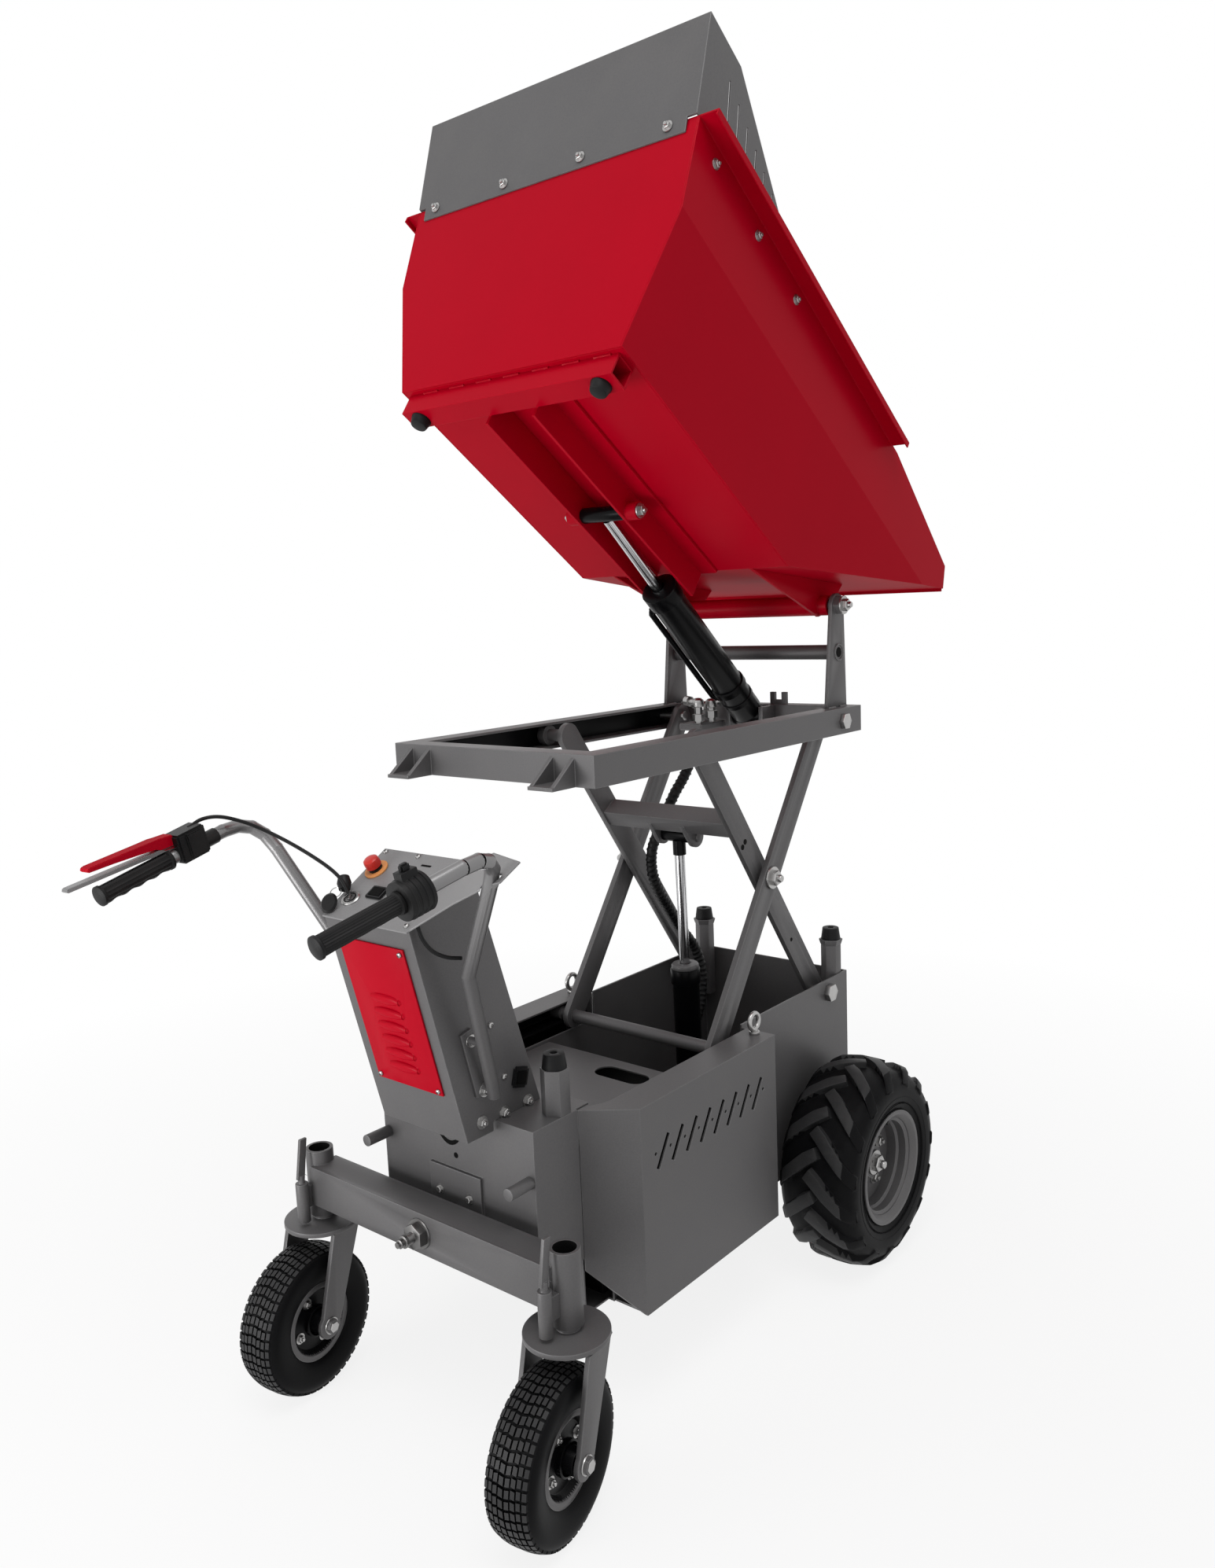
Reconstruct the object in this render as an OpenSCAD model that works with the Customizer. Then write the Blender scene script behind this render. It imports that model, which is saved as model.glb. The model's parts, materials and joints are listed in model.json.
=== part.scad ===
// Walk-behind site dumper with a scissor lift and a forward-tipping skip.
// Millimetres, +X to the tipping end, +Y to the left, +Z up, ground at z = 0.
// Everything is laid out from the drive axle (x = 0) and moved as one by
// shift_x, so that the origin sits on the ground under the middle of the part.

/* [Wheels] */
// Drive tyre radius, to the tips of the lugs
drive_r = 203; // [198:1:206]
// Drive tyre width
drive_w = 165; // [155:1:168]
// Distance between the two wheel planes, front and rear
track = 578; // [572:2:590]
// Caster tyre radius
caster_r = 126; // [120:1:130]
// Drive axle to caster swivel axis
wheelbase = 887; // [880:1:920]

/* [Lift] */
// Distance between the end pins of a scissor arm
arm_len = 699; // [690:1:710]
// Arm angle in the drawn pose
lift_angle = 54.9; // [46:0.1:56]
// Height of the lower arm pins above ground
pin_z = 515; // [512:1:520]

/* [Upper frame] */
// Height of the rails of the upper frame
rail_h = 52; // [50:1:56]

/* [Skip] */
// Tip angle in the drawn pose, floor against level
tip_angle = 35.2; // [20:0.1:45]
// Skip sheet thickness
skip_t = 3; // [2.5:0.5:4]
// Height of the skip from floor to rim
skip_depth = 350; // [340:2:380]
// Height of the bolt-on rear extension above the rim
ext_h = 152; // [140:1:165]

/* [Output] */
// Which sub-part to make

/* [Hidden] */
$fn = 48;

steel = [0.50, 0.49, 0.48];
red = [0.78, 0.04, 0.10];
black = [0.05, 0.05, 0.06];
bright = [0.75, 0.75, 0.77];

wy = track / 2;
// Widths, all from the track: tub, rear section, side boxes, upper frame, uprights
tub_w = wy - 103;
rear_w = wy - 111;
box_w = wy - 31;
frame_w = wy - 60;
up_y = frame_w - 32;
// Chassis stations: rear wall, step, side boxes, deck end, front wall
rear_x = -(wheelbase - 60);
step_x = rear_x + 105;
box_x0 = rear_x + 166;
deck_x1 = box_x0 + 261;
box_x1 = -(drive_r + 54);
box_z0 = drive_r - 24;
box_z1 = pin_z + 23;
tub_top = pin_z + 28;
shelf_z = pin_z + 25;
deck_z = pin_z - 37;
front_x = 148;
sheet = 4;
// Caster fork top, axle beam and the underside above them
fork_z = 2 * caster_r + 29;
beam_z = fork_z + 76;
under_z = fork_z + 5;
trail = 60;
// How far each caster is swivelled in the drawn pose
turn_r = 10;
turn_l = 8;
// Scissor stations
pin_x = 70;
sweep = arm_len * cos(lift_angle);
rise = arm_len * sin(lift_angle);
slide_x = pin_x - sweep;
mid_x = pin_x - sweep / 2;
mid_z = pin_z + rise / 2;
top_z = pin_z + rise;
arm_h = 50;
out_y = frame_w - 61;
in_y = frame_w - 82;
// Upper frame stations
rail_z1 = top_z + rail_h / 2;
rail_z0 = top_z - rail_h / 2;
// Lowest lift and where the stops stand
low_angle = 12.9;
frame_x0 = pin_x - arm_len * cos(low_angle) - 92.6;
frame_x1 = 144;
drop = rise - arm_len * sin(low_angle);
stop_z = rail_z0 - drop - 5;
// Skip hinge
hinge_x = 96.7;
hinge_z = rail_z1 + 204;
// Skip profile about the hinge, x along the floor, z square to it
sk_z0 = -85;
sk_z1 = sk_z0 + skip_depth;
sk_r0 = -817;
sk_lean = 0.257;
sk_f0 = -252;
lip_x = 197;
lip_z = 168;
sk_w0 = 247;
sk_w1 = 312;
sk_bend = 119;
sk_end = -125;
// Cylinders: base pins and rod eyes
lift_bx = -171;
lift_bz = 222;
eye_k = 446 / 699;
lift_ex = pin_x - eye_k * sweep;
lift_ez = pin_z + eye_k * rise;
lift_len = sqrt(pow(lift_ex - lift_bx, 2) + pow(lift_ez - lift_bz, 2));
lift_a = atan2(lift_ex - lift_bx, lift_ez - lift_bz);
tip_bx = 82;
tip_bz = rail_z1 - 21;
tip_lx = -491;
tip_lz = -124;
tip_ex = hinge_x + tip_lx * cos(tip_angle) + tip_lz * sin(tip_angle);
tip_ez = hinge_z - tip_lx * sin(tip_angle) + tip_lz * cos(tip_angle);
tip_len = sqrt(pow(tip_ex - tip_bx, 2) + pow(tip_ez - tip_bz, 2));
tip_a = atan2(tip_ex - tip_bx, tip_ez - tip_bz);
// Handlebar, right side: foot, waist, knee and grip end, drawn for the console at its place
bar_foot = [-845, -118, 592];
bar_waist = [-911, -146, 808];
bar_knee = [-966.5, -281, 1023];
bar_end = [-1251.7, -253.8, 951.6];
function toward(a, b, l) = a + (b - a) * l / norm(b - a);
function bow(a, b, c, t) = (1 - t) * (1 - t) * a + 2 * t * (1 - t) * b + t * t * c;
bar_path = concat([bar_foot, bar_waist], [for (i = [0 : 4])
  bow(toward(bar_knee, bar_waist, 66), bar_knee, toward(bar_knee, bar_end, 66), i / 4)], [bar_end]);
con_dx = rear_x + 827;
con_dz = pin_z - 515;
grip_d = bar_end - bar_knee;
grip_p = acos(grip_d[2] / norm(grip_d));
grip_t = atan2(grip_d[1], grip_d[0]);
function grip_x(v) = con_dx + bar_end[0] + cos(grip_t) * (cos(grip_p) * v[0] + sin(grip_p) * v[2])
  - sin(grip_t) * v[1];
// The lever tip and the lip set the length, and with it the origin
lever_x = min([for (a = [-33, -29], b = [-3, 9]) grip_x([a, b, 45])]);
reach_x = hinge_x + (lip_x - 19) * cos(tip_angle) + (lip_z + 44) * sin(tip_angle);
shift_x = -(lever_x + reach_x) / 2;

module place() translate([shift_x, 0, 0]) children();
module both() { children(); mirror([0, 1, 0]) children(); }
module side(s) if (s < 0) children(); else mirror([0, 1, 0]) children();
module box(x0, x1, y0, y1, z0, z1)
  translate([x0, y0, z0]) cube([x1 - x0, y1 - y0, z1 - z0]);
module ycyl(r, y0, y1, x, z)
  translate([x, y0, z]) rotate([-90, 0, 0]) cylinder(h = y1 - y0, r = r);
module zcyl(r, z0, z1, x, y) translate([x, y, z0]) cylinder(h = z1 - z0, r = r);
module xcyl(r, x0, x1, y, z) translate([x0, y, z]) rotate([0, 90, 0]) cylinder(h = x1 - x0, r = r);
module xz(pts, y0, y1)
  translate([0, y1, 0]) rotate([90, 0, 0]) linear_extrude(y1 - y0) polygon(pts);
module yz(pts, x0, x1)
  translate([x0, 0, 0]) rotate([90, 0, 90]) linear_extrude(x1 - x0) polygon(pts);
module hexhead(r, y0, y1, x, z)
  translate([x, y0, z]) rotate([-90, 0, 0]) cylinder(h = y1 - y0, r = r, $fn = 6);
// A flat bar with round ends from pin a to pin b in the XZ plane
module bar(a, b, w, y0, y1) {
  d = b - a;
  l = norm(d);
  translate([a[0], 0, a[1]]) rotate([0, -atan2(d[1], d[0]), 0]) {
    box(0, l, y0, y1, -w / 2, w / 2);
    ycyl(w / 2, y0, y1, 0, 0);
    ycyl(w / 2, y0, y1, l, 0);
  }
}
// A round bar along a path, with a ball a hair larger at each bend
module along(a, d) translate(a) rotate([0, acos(d[2] / norm(d)), atan2(d[1], d[0])]) children();
module bent(p, r) {
  for (i = [0 : len(p) - 2]) {
    along(p[i], p[i + 1] - p[i]) cylinder(h = norm(p[i + 1] - p[i]), r = r);
    if (i > 0) translate(p[i]) sphere(r = r + 0.4);
  }
}
// Turns local cylinder coordinates (z along the ram) into place
module ram(x, z, a) translate([x, 0, z]) rotate([0, a, 0]) children();
module on_console() translate([con_dx, 0, con_dz]) children();
module skip_frame() translate([hinge_x, 0, hinge_z]) rotate([0, tip_angle, 0]) children();

// Chassis

module chassis_floor() place() color(steel) {
  difference() {
    union() {
      box(box_x0, front_x - sheet, -tub_w + sheet, tub_w - sheet, box_z0, box_z0 + sheet);
      box(step_x, step_x + sheet, -rear_w + sheet, rear_w - sheet, box_z0, under_z);
      box(step_x + sheet, box_x0, -rear_w + sheet, rear_w - sheet, box_z0, box_z0 + sheet);
      box(rear_x + sheet, step_x, -rear_w + sheet, rear_w - sheet, under_z - sheet, under_z);
    }
  }
}

module chassis_rear() place() color(steel) {
  difference() {
    union() {
      box(rear_x, rear_x + sheet, -rear_w, rear_w, under_z - sheet, shelf_z);
      both() box(rear_x + sheet, step_x, rear_w - sheet, rear_w, under_z - sheet, shelf_z);
      box(rear_x + sheet, rear_x + 137, -rear_w + sheet, rear_w - sheet, shelf_z - sheet, shelf_z);
      box(rear_x - 6, rear_x, -60, 60, beam_z - 45, beam_z + 75);
    }
    xcyl(14, rear_x - 10, rear_x + 10, 0, beam_z);
  }
}

module chassis_front() place() color(steel) {
  difference() {
    union() {
      both() box(box_x0, front_x, tub_w - sheet, tub_w, box_z0, tub_top);
      box(front_x - sheet, front_x, -tub_w + sheet, tub_w - sheet, box_z0, tub_top);
    }
    both() ycyl(10, tub_w - 10, tub_w + 10, pin_x, pin_z);
    both() ycyl(19.5, tub_w - 10, tub_w + 10, 0, drive_r);
    both() box(box_x0 - 1, box_x1 - 1, tub_w - 10, tub_w + 1, deck_z + 6, tub_top + 1);
  }
}

// Side box: outer wall with a chamfered rear corner, cut up there to clear the caster
module plan(pts, z0, z1) translate([0, 0, z0]) linear_extrude(z1 - z0) polygon(pts);
module side_box(s) place() color(steel) side(s) {
  y = -box_w;
  a = atan2(box_w - rear_w, box_x0 - step_x);
  m = sheet * tan(a / 2);
  pitch = (box_x1 - box_x0 - 120.5) / 7;
  difference() {
    union() {
      plan([[step_x, -rear_w], [box_x0, y], [box_x1, y], [box_x1, y + sheet],
        [box_x0 + m, y + sheet], [step_x + sheet * sin(a), -rear_w + sheet * cos(a)]],
        box_z0, box_z1);
      plan([[step_x + sheet * sin(a), -rear_w + sheet * cos(a)], [step_x, -rear_w], [box_x0, y],
        [box_x1, y], [box_x1, -tub_w - 10], [box_x0, -tub_w - 10]], box_z1 - sheet, box_z1);
      box(box_x1 - sheet, box_x1, y + 1, -tub_w, box_z0, box_z1);
      box(box_x0 + 3, box_x1 - 1, y + 1, -tub_w, box_z0, box_z0 + sheet);
    }
    for (i = [0 : 7])
      translate([box_x0 + 57 + i * pitch, y + 2, deck_z - 33]) rotate([0, 31, 0])
        cube([9, 20, 60], center = true);
    for (i = [0 : 8]) ycyl(3, y - 1, y + 10, box_x0 + 57 + (i - 0.5) * pitch, deck_z - 31);
    xz([[step_x - 10, 100], [box_x0, 100], [box_x0, box_z0], [step_x - 10, box_z0 + 97]],
      -400, -100);
  }
}
module side_box_right() side_box(-1);
module side_box_left() side_box(1);

module deck_cover() place() color(steel) {
  difference() {
    union() {
      box(step_x + sheet, deck_x1, -rear_w + sheet + 1, rear_w - sheet - 1, deck_z - sheet, deck_z);
      box(box_x0 + 1, deck_x1, -tub_w + sheet + 0.2, tub_w - sheet - 0.2, deck_z - sheet, deck_z);
    }
    translate([deck_x1 - 52, -48, deck_z - 10]) linear_extrude(20) {
      translate([0, 34]) circle(r = 24);
      translate([0, -34]) circle(r = 24);
      square([48, 68], center = true);
    }
  }
  box(deck_x1 - 4, deck_x1, -rear_w + sheet + 1, rear_w - sheet - 1, box_z0 + sheet, deck_z - sheet);
}

module roller_tracks() place() color(black) both() {
  xz([[box_x0, pin_z - 19], [box_x1 - sheet, pin_z - 19], [box_x1 - sheet, pin_z - 15],
    [box_x0, pin_z - 15]], -tub_w - 54, -tub_w - 12);
  box(box_x0, box_x1 - sheet, -tub_w - 54, -tub_w - 50, pin_z - 15, box_z1 - sheet);
}

post_xr = rear_x + 78;
post_yr = -rear_w + 24 * cos(30);
post_xf = front_x - 27;
post_yf = -tub_w + sheet + 21 * cos(30);
module stop_posts() place() color(steel) both() {
  translate([post_xr, post_yr, shelf_z]) cylinder(h = stop_z - 25 - shelf_z, r = 24, $fn = 6);
  translate([post_xf, post_yf, pin_z - 75])
    cylinder(h = stop_z - 25 - (pin_z - 75), r = 21, $fn = 6);
}

module stop_rubber(x, y) translate([x, y, stop_z - 25]) difference() {
  cylinder(h = 25, r1 = 20.5, r2 = 17);
  translate([0, 0, 18]) cylinder(h = 10, r = 6);
}
module stop_rubbers() place() color(black) both() {
  stop_rubber(post_xr, post_yr);
  stop_rubber(post_xf, post_yf);
}

module rock_stops() place() color(steel) both()
  xcyl(10, rear_x - 50, rear_x, rear_w - 11, shelf_z - 85);

module battery_block() place() color(black)
  box(box_x0 + 1, box_x0 + 231, -160, 160, box_z0 + sheet, deck_z - 68);

module drive_axle() place() color(steel) {
  z = drive_r;
  box(-85, 85, -90, 90, box_z0 + sheet, z + 80);
  both() {
    ycyl(19.5, 90, tub_w + 12, 0, z);
    ycyl(40, tub_w + 12, tub_w + 18, 0, z);
    ycyl(15, tub_w + 18, wy + 40, 0, z);
  }
}

module eye_bolts() place() color(bright) both() {
  x = box_x1 - 18;
  y = -box_w + 33;
  difference() {
    union() {
      zcyl(10, box_z1, box_z1 + 6, x, y);
      translate([x, y, box_z1 + 24]) rotate([90, 0, 0])
        rotate_extrude() translate([15, 0]) circle(r = 4.5, $fn = 24);
      zcyl(5, box_z1 + 4, box_z1 + 11, x, y);
    }
  }
}

module lower_arm_pins() place() color(bright) both() {
  ycyl(10, in_y - 6, tub_w, pin_x, pin_z);
  hexhead(19, tub_w, tub_w + 12, pin_x, pin_z);
}

module lift_base() place() color(steel) {
  both() difference() {
    box(lift_bx - 30, lift_bx + 30, 36, 46, box_z0 + sheet, lift_bz + 22);
    ycyl(12, 30, 50, lift_bx, lift_bz);
  }
  ycyl(12, -46, 46, lift_bx, lift_bz);
}

module pivot_bolt() place() color(bright) {
  xcyl(14, -wheelbase - 30, rear_x + sheet, 0, beam_z);
  translate([-wheelbase - 44, 0, beam_z]) rotate([0, 90, 0]) cylinder(h = 14, r = 22, $fn = 6);
  xcyl(9, -wheelbase - 56, -wheelbase - 44, 0, beam_z);
}

// Rocking caster axle

module axle_beam() place() color(steel) {
  difference() {
    union() {
      box(-wheelbase - 28, -wheelbase + 28, -wy + 8, wy - 8, beam_z - 35, beam_z + 35);
      both() zcyl(24, fork_z + 15, beam_z + 59, -wheelbase, wy);
    }
    both() zcyl(18.05, fork_z + 10, beam_z + 63, -wheelbase, wy);
    xcyl(14.05, -wheelbase - 40, -wheelbase + 40, 0, beam_z);
  }
}

// Plunger tube welded behind each swivel tube, with a flat pull lever
module swivel_locks() place() color(steel) both() {
  x = -wheelbase - 44;
  y = -wy + 3;
  zcyl(11, fork_z + 15, fork_z + 86, x, y);
  zcyl(6, fork_z + 84, fork_z + 100, x, y);
  xz([[x - 9, fork_z + 94], [x + 5, fork_z + 94], [x + 16, fork_z + 164], [x + 2, fork_z + 164]],
    y - 3, y + 3);
  difference() {
    box(x, -wheelbase - 15, -wy - 7, -wy + 7, beam_z - 38, beam_z);
    zcyl(24.05, beam_z - 60, beam_z + 20, -wheelbase, -wy);
  }
}

// Turns a caster about its swivel axis, as it stands in the drawn pose
module swivelled(s) side(s) translate([-wheelbase, -wy, 0])
  rotate([0, 0, s < 0 ? turn_r : -turn_l]) children();

module caster_fork(s) place() color(steel) swivelled(s) {
  zcyl(66, fork_z, fork_z + 8, -5, 0);
  zcyl(18, fork_z + 8, beam_z + 27, 0, 0);
  for (k = [-1, 1]) {
    y0 = k < 0 ? -58 : 50;
    difference() {
      union() {
        xz([[-trail - 20, caster_r], [-trail + 24, caster_r], [26, fork_z], [-36, fork_z]],
          y0, y0 + 8);
        ycyl(23, y0, y0 + 8, -trail, caster_r);
      }
      ycyl(8, y0 - 1, y0 + 9, -trail, caster_r);
    }
  }
  ycyl(8, -58, 58, -trail, caster_r);
  hexhead(13, -66, -58, -trail, caster_r);
  hexhead(13, 58, 66, -trail, caster_r);
}
module caster_fork_right() caster_fork(-1);
module caster_fork_left() caster_fork(1);

module turned(p) rotate([90, 0, 0]) rotate_extrude() polygon(p);

module caster_tyre(s) place() color(black) swivelled(s) translate([-trail, 0, caster_r])
  turned([[64.3, -26], [84, -38], [104, -41], [caster_r - 8, -37], [caster_r, -27],
    [caster_r, 27], [caster_r - 8, 37], [104, 41], [84, 38], [64.3, 26]]);
module caster_tyre_right() caster_tyre(-1);
module caster_tyre_left() caster_tyre(1);

module caster_rim(s) place() color(steel) swivelled(s) translate([-trail, 0, caster_r])
  turned([[8.05, -46], [20, -46], [20, -22], [50, -18], [58, -31], [68, -31], [64, -27],
    [64, 27], [68, 31], [58, 31], [50, 18], [20, 22], [20, 46], [8.05, 46]]);
module caster_rim_right() caster_rim(-1);
module caster_rim_left() caster_rim(1);

// Drive tyre: a plain casing and two rows of slanted lugs, cut to the tread's outline
lug_n = 15;
lug = [[47, 2], [32, -20], [-38, -92], [-54, -80], [12, -6], [28, 14]];
module lug_row(k, a) for (i = [0 : lug_n - 1]) rotate([0, a + i * 360 / lug_n - 90, 0])
  translate([0, 0, drive_r - 45]) linear_extrude(54) polygon([for (p = lug) [p[0], k * p[1]]]);
module drive_tyre(s) place() color(black) side(s) translate([0, -wy, drive_r]) {
  w = drive_w / 2;
  turned([[101.3, -60], [112, -71], [135, -w + 3.5], [155, -w + 1], [drive_r - 31, -w + 5],
    [drive_r - 18, -w + 20], [drive_r - 13, -30], [drive_r - 13, 30], [drive_r - 18, w - 20],
    [drive_r - 31, w - 5], [155, w - 1], [135, w - 3.5], [112, 71], [101.3, 60]]);
  intersection() {
    turned([[120, -w], [drive_r - 37, -w], [drive_r - 14, -w + 13], [drive_r - 5, -w + 26],
      [drive_r, -28], [drive_r, 28], [drive_r - 5, w - 26], [drive_r - 14, w - 13],
      [drive_r - 37, w], [120, w]]);
    union() {
      lug_row(1, 1.5);
      lug_row(-1, 13.5);
    }
  }
}
module drive_tyre_right() drive_tyre(-1);
module drive_tyre_left() drive_tyre(1);

// Rim with its dish toward the outer face
module drive_rim(s) place() color(steel) side(s)
  translate([0, -wy, drive_r]) turned([[15.05, -40], [32, -40], [32, 14], [96, 14], [96, -66],
    [106, -76], [114, -76], [114, -72], [108, -72], [101, -62], [101, 62], [108, 72], [114, 72],
    [114, 76], [106, 76], [96, 66], [96, 20], [32, 20], [32, 34], [15.05, 34]]);
module drive_rim_right() drive_rim(-1);
module drive_rim_left() drive_rim(1);

// Console

con_w = 98;
function con_rear(z) = -889 - 89 / 358 * (z - 524);
module console_shell() place() color(steel) on_console() {
  both() xz([[-889, 524], [-832, 524], [-832, 540], [-723, 540], [-850, 960], [-978, 882]],
    -con_w, -con_w + 3);
  difference() {
    xz([[-889, 524], [-886, 524], [-975, 880], [-978, 882]], -con_w + 3, con_w - 3);
    translate([-934, 0, 728]) rotate([0, -13.5, 0]) cube([40, 120, 210], center = true);
  }
  xz([[-726.1, 540], [-723, 540], [-850, 960], [-852.9, 958.2]], -con_w + 3, con_w - 3);
}

// Red panel with six rounded louvres
module console_panel() place() color(red) on_console() {
  xz([[con_rear(604) - 0.2, 604], [con_rear(851) - 0.2, 851], [con_rear(851) - 3.2, 850.2],
    [con_rear(604) - 3.2, 603.2]], -75, 75);
  for (i = [0 : 5]) ycyl(6, -32, 32, con_rear(638 + i * 23.7) - 1.7, 638 + i * 23.7);
}

module on_dash(u, v) on_console() translate([-978, 0, 882]) rotate([0, -31.4, 0])
  translate([u, v, 0]) children();
// Plate over the console, its right wing folded up round the handlebar
module dash_plate() place() color(steel) difference() {
  union() {
    on_dash(0, 0) linear_extrude(3) polygon([[-4, con_w], [-4, -con_w], [152, -con_w], [152, con_w]]);
    on_dash(0, -con_w) rotate([-21.6, 0, 0]) linear_extrude(3)
      polygon([[0, 0], [38.5, -83], [60, -165], [57, -195], [97, -205], [150, -76], [150, 0]]);
  }
  on_console() along(bar_waist, bar_knee - bar_waist) cylinder(h = 300, r = 12.5);
}

module dash_controls() place() color(red) {
  on_dash(104, 72) translate([0, 0, 3]) {
    cylinder(h = 3, r = 24);
    translate([0, 0, 3]) cylinder(h = 18, r = 11);
    translate([0, 0, 21]) cylinder(h = 12, r = 19);
  }
  on_dash(38, 70) translate([0, 0, 3]) {
    cylinder(h = 6, r = 14);
    translate([0, 0, 6]) cylinder(h = 8, r = 9);
  }
}

// Tubes with a bolted strip on each side of the console and two spacers behind it
module handlebars() place() color(bright) on_console() both() {
  bent(bar_path, 11);
  xz([[-894, 700], [-871, 706], [-843, 589], [-868, 593]], -con_w - 5, -con_w);
  ycyl(6, -118, -con_w - 2, -852, 606);
  ycyl(6, -130, -con_w - 2, -876, 689);
}

module grip_frame() on_console() translate(bar_end) rotate([0, grip_p, grip_t]) children();
module grips() place() color(black) both() grip_frame() difference() {
  union() {
    translate([0, 0, -124]) cylinder(h = 126, r = 14);
    translate([0, 0, -4]) cylinder(h = 8, r = 16);
    translate([0, 0, -124]) cylinder(h = 5, r = 16);
  }
  translate([0, 0, -125]) cylinder(h = 125, r = 11.05);
}
module throttle() place() color(black) grip_frame() difference() {
  union() {
    translate([0, 0, -165]) cylinder(h = 40, r = 27);
    translate([-36, -9, -158]) cube([20, 18, 26]);
  }
  translate([0, 0, -166]) cylinder(h = 42, r = 11.05);
}
// Clamp with two levers over the left grip
module hand_levers() place() color(black) mirror([0, 1, 0]) grip_frame() {
  difference() {
    union() {
      translate([0, 0, -189]) cylinder(h = 56, r = 18);
      translate([-32, -4, -186]) cube([24, 20, 50]);
    }
    translate([0, 0, -190]) cylinder(h = 58, r = 11.05);
  }
  xz([[-14, -140], [-20, -140], [-20, -117], [-33, 45], [-29, 45], [-16, -117]], -3, 9);
  xz([[-22.5, -140], [-30, -140], [-30.5, -117], [-47, 6], [-40, 6], [-23.5, -117]], 1, 15);
}

// Scissor

function on_arm(k) = [pin_x - k * sweep, pin_z + k * rise];
bar_off = 46;
module inner_arms() place() color(steel) {
  both() difference() {
    union() {
      bar([pin_x, pin_z], [slide_x, top_z], arm_h, in_y, in_y + 12);
      ycyl(10, in_y, out_y + 20, mid_x, mid_z);
      ycyl(12, in_y + 12, frame_w - 29, slide_x, top_z);
      ycyl(rail_h / 2 - 6, frame_w - 29, frame_w - 12, slide_x, top_z);
    }
    ycyl(10.05, in_y - 7, in_y + 13, pin_x, pin_z);
  }
  // Crossbar, with the clevis plates that take the rod's eye
  translate([lift_ex, 0, lift_ez]) rotate([0, lift_angle, 0]) {
    box(-bar_off - 18, -bar_off + 18, -in_y, in_y, -20, 20);
    both() {
      box(-bar_off, 0, 35, 45, -22, 22);
      ycyl(22, 35, 45, 0, 0);
      ycyl(11, 45, 52, 0, 0);
    }
  }
}

module outer_arms() place() color(steel) {
  both() difference() {
    union() {
      bar([slide_x, pin_z], [pin_x, top_z], arm_h, out_y, out_y + 12);
      ycyl(10, out_y + 12, tub_w + 14, slide_x, pin_z);
      ycyl(14, tub_w + 14, tub_w + 40, slide_x, pin_z);
    }
    ycyl(10.05, out_y - 8, out_y + 22, mid_x, mid_z);
    ycyl(10.05, out_y - 8, out_y + 22, pin_x, top_z);
  }
  ycyl(12.5, -out_y, out_y, slide_x, pin_z);
}

// Hose bundle clipped inside the left inner arm
module arm_hoses() place() color(black) {
  a = on_arm(0.08);
  b = on_arm(0.61);
  y = in_y - 16;
  d = [b[0] - a[0], 0, b[1] - a[1]];
  along([a[0], y, a[1]], d) cylinder(h = norm(d), r = 13);
  for (k = [0.2, 0.42]) translate([on_arm(k)[0], 0, on_arm(k)[1]]) rotate([0, lift_angle, 0])
    box(-8, 8, y, in_y, -8, 8);
}

// Upper frame

module upper_frame() place() color(steel) {
  t = 5;
  y0 = -frame_w + 39;
  difference() {
    union() {
      both() difference() {
        box(frame_x0, frame_x1, -frame_w, -frame_w + 40, rail_z0, rail_z1);
        box(frame_x0 + 44, frame_x1 - 40, -frame_w + t, -frame_w + 41, rail_z0 + t, rail_z1 - t);
      }
      box(frame_x0, frame_x0 + 40, -frame_w + 39, frame_w - 39, rail_z0, rail_z1);
      box(frame_x1 - 36, frame_x1, -frame_w + 39, frame_w - 39, rail_z0, rail_z1);
      both() {
        box(frame_x0 - 54, frame_x0 + 10, y0, y0 + 52, rail_z0, rail_z0 + 6);
        for (y = [y0, y0 + 44])
          xz([[frame_x0 + 5, rail_z0 + 3], [frame_x0 - 50, rail_z0 + 3], [frame_x0 - 50, rail_z0 + 6],
            [frame_x0, rail_z1 - 6], [frame_x0 + 5, rail_z1 - 6]], y, y + 8);
      }
      // Notched catch on the front member
      box(frame_x1 - 30, frame_x1 - 22, -70, -58, rail_z1 - 2, rail_z1 + 26);
      box(frame_x1 - 30, frame_x1 - 22, -42, -30, rail_z1 - 2, rail_z1 + 26);
      box(frame_x1 - 30, frame_x1 - 22, -59, -41, rail_z1 - 2, rail_z1 + 10);
    }
    both() ycyl(10, frame_w - 60, frame_w + 1, pin_x, top_z);
  }
}

// Two plates with the hinge pins of the skip
module uprights() place() color(steel) both() {
  difference() {
    union() {
      xz([[50, rail_z1], [128, rail_z1], [hinge_x + 24, hinge_z], [hinge_x - 24, hinge_z]],
        -up_y - 8, -up_y);
      ycyl(24, -up_y - 8, -up_y, hinge_x, hinge_z);
    }
    ycyl(15.05, -up_y - 10, -up_y + 10, tube_x, tube_z);
  }
  ycyl(12, -up_y - 8, -up_y + 47, hinge_x, hinge_z);
  hexhead(20, -up_y - 20, -up_y - 8, hinge_x, hinge_z);
}

tube_x = 98;
tube_z = rail_z1 + 110;
module cross_tube() place() color(steel) difference() {
  ycyl(15, -up_y - 8, up_y + 8, tube_x, tube_z);
  ycyl(10, -up_y - 20, up_y + 20, tube_x, tube_z);
}

// Lugs and pin at the foot of the tip cylinder
module tip_base() place() color(steel) {
  both() box(tip_bx - 24, frame_x1 - 36, 36, 46, rail_z0 + 4, rail_z1 - 1);
  ycyl(12, -46, 46, tip_bx, tip_bz);
}

module upper_arm_pins() place() color(bright) both() {
  ycyl(10, out_y - 6, frame_w, pin_x, top_z);
  hexhead(17, frame_w, frame_w + 10, pin_x, top_z);
}

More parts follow.
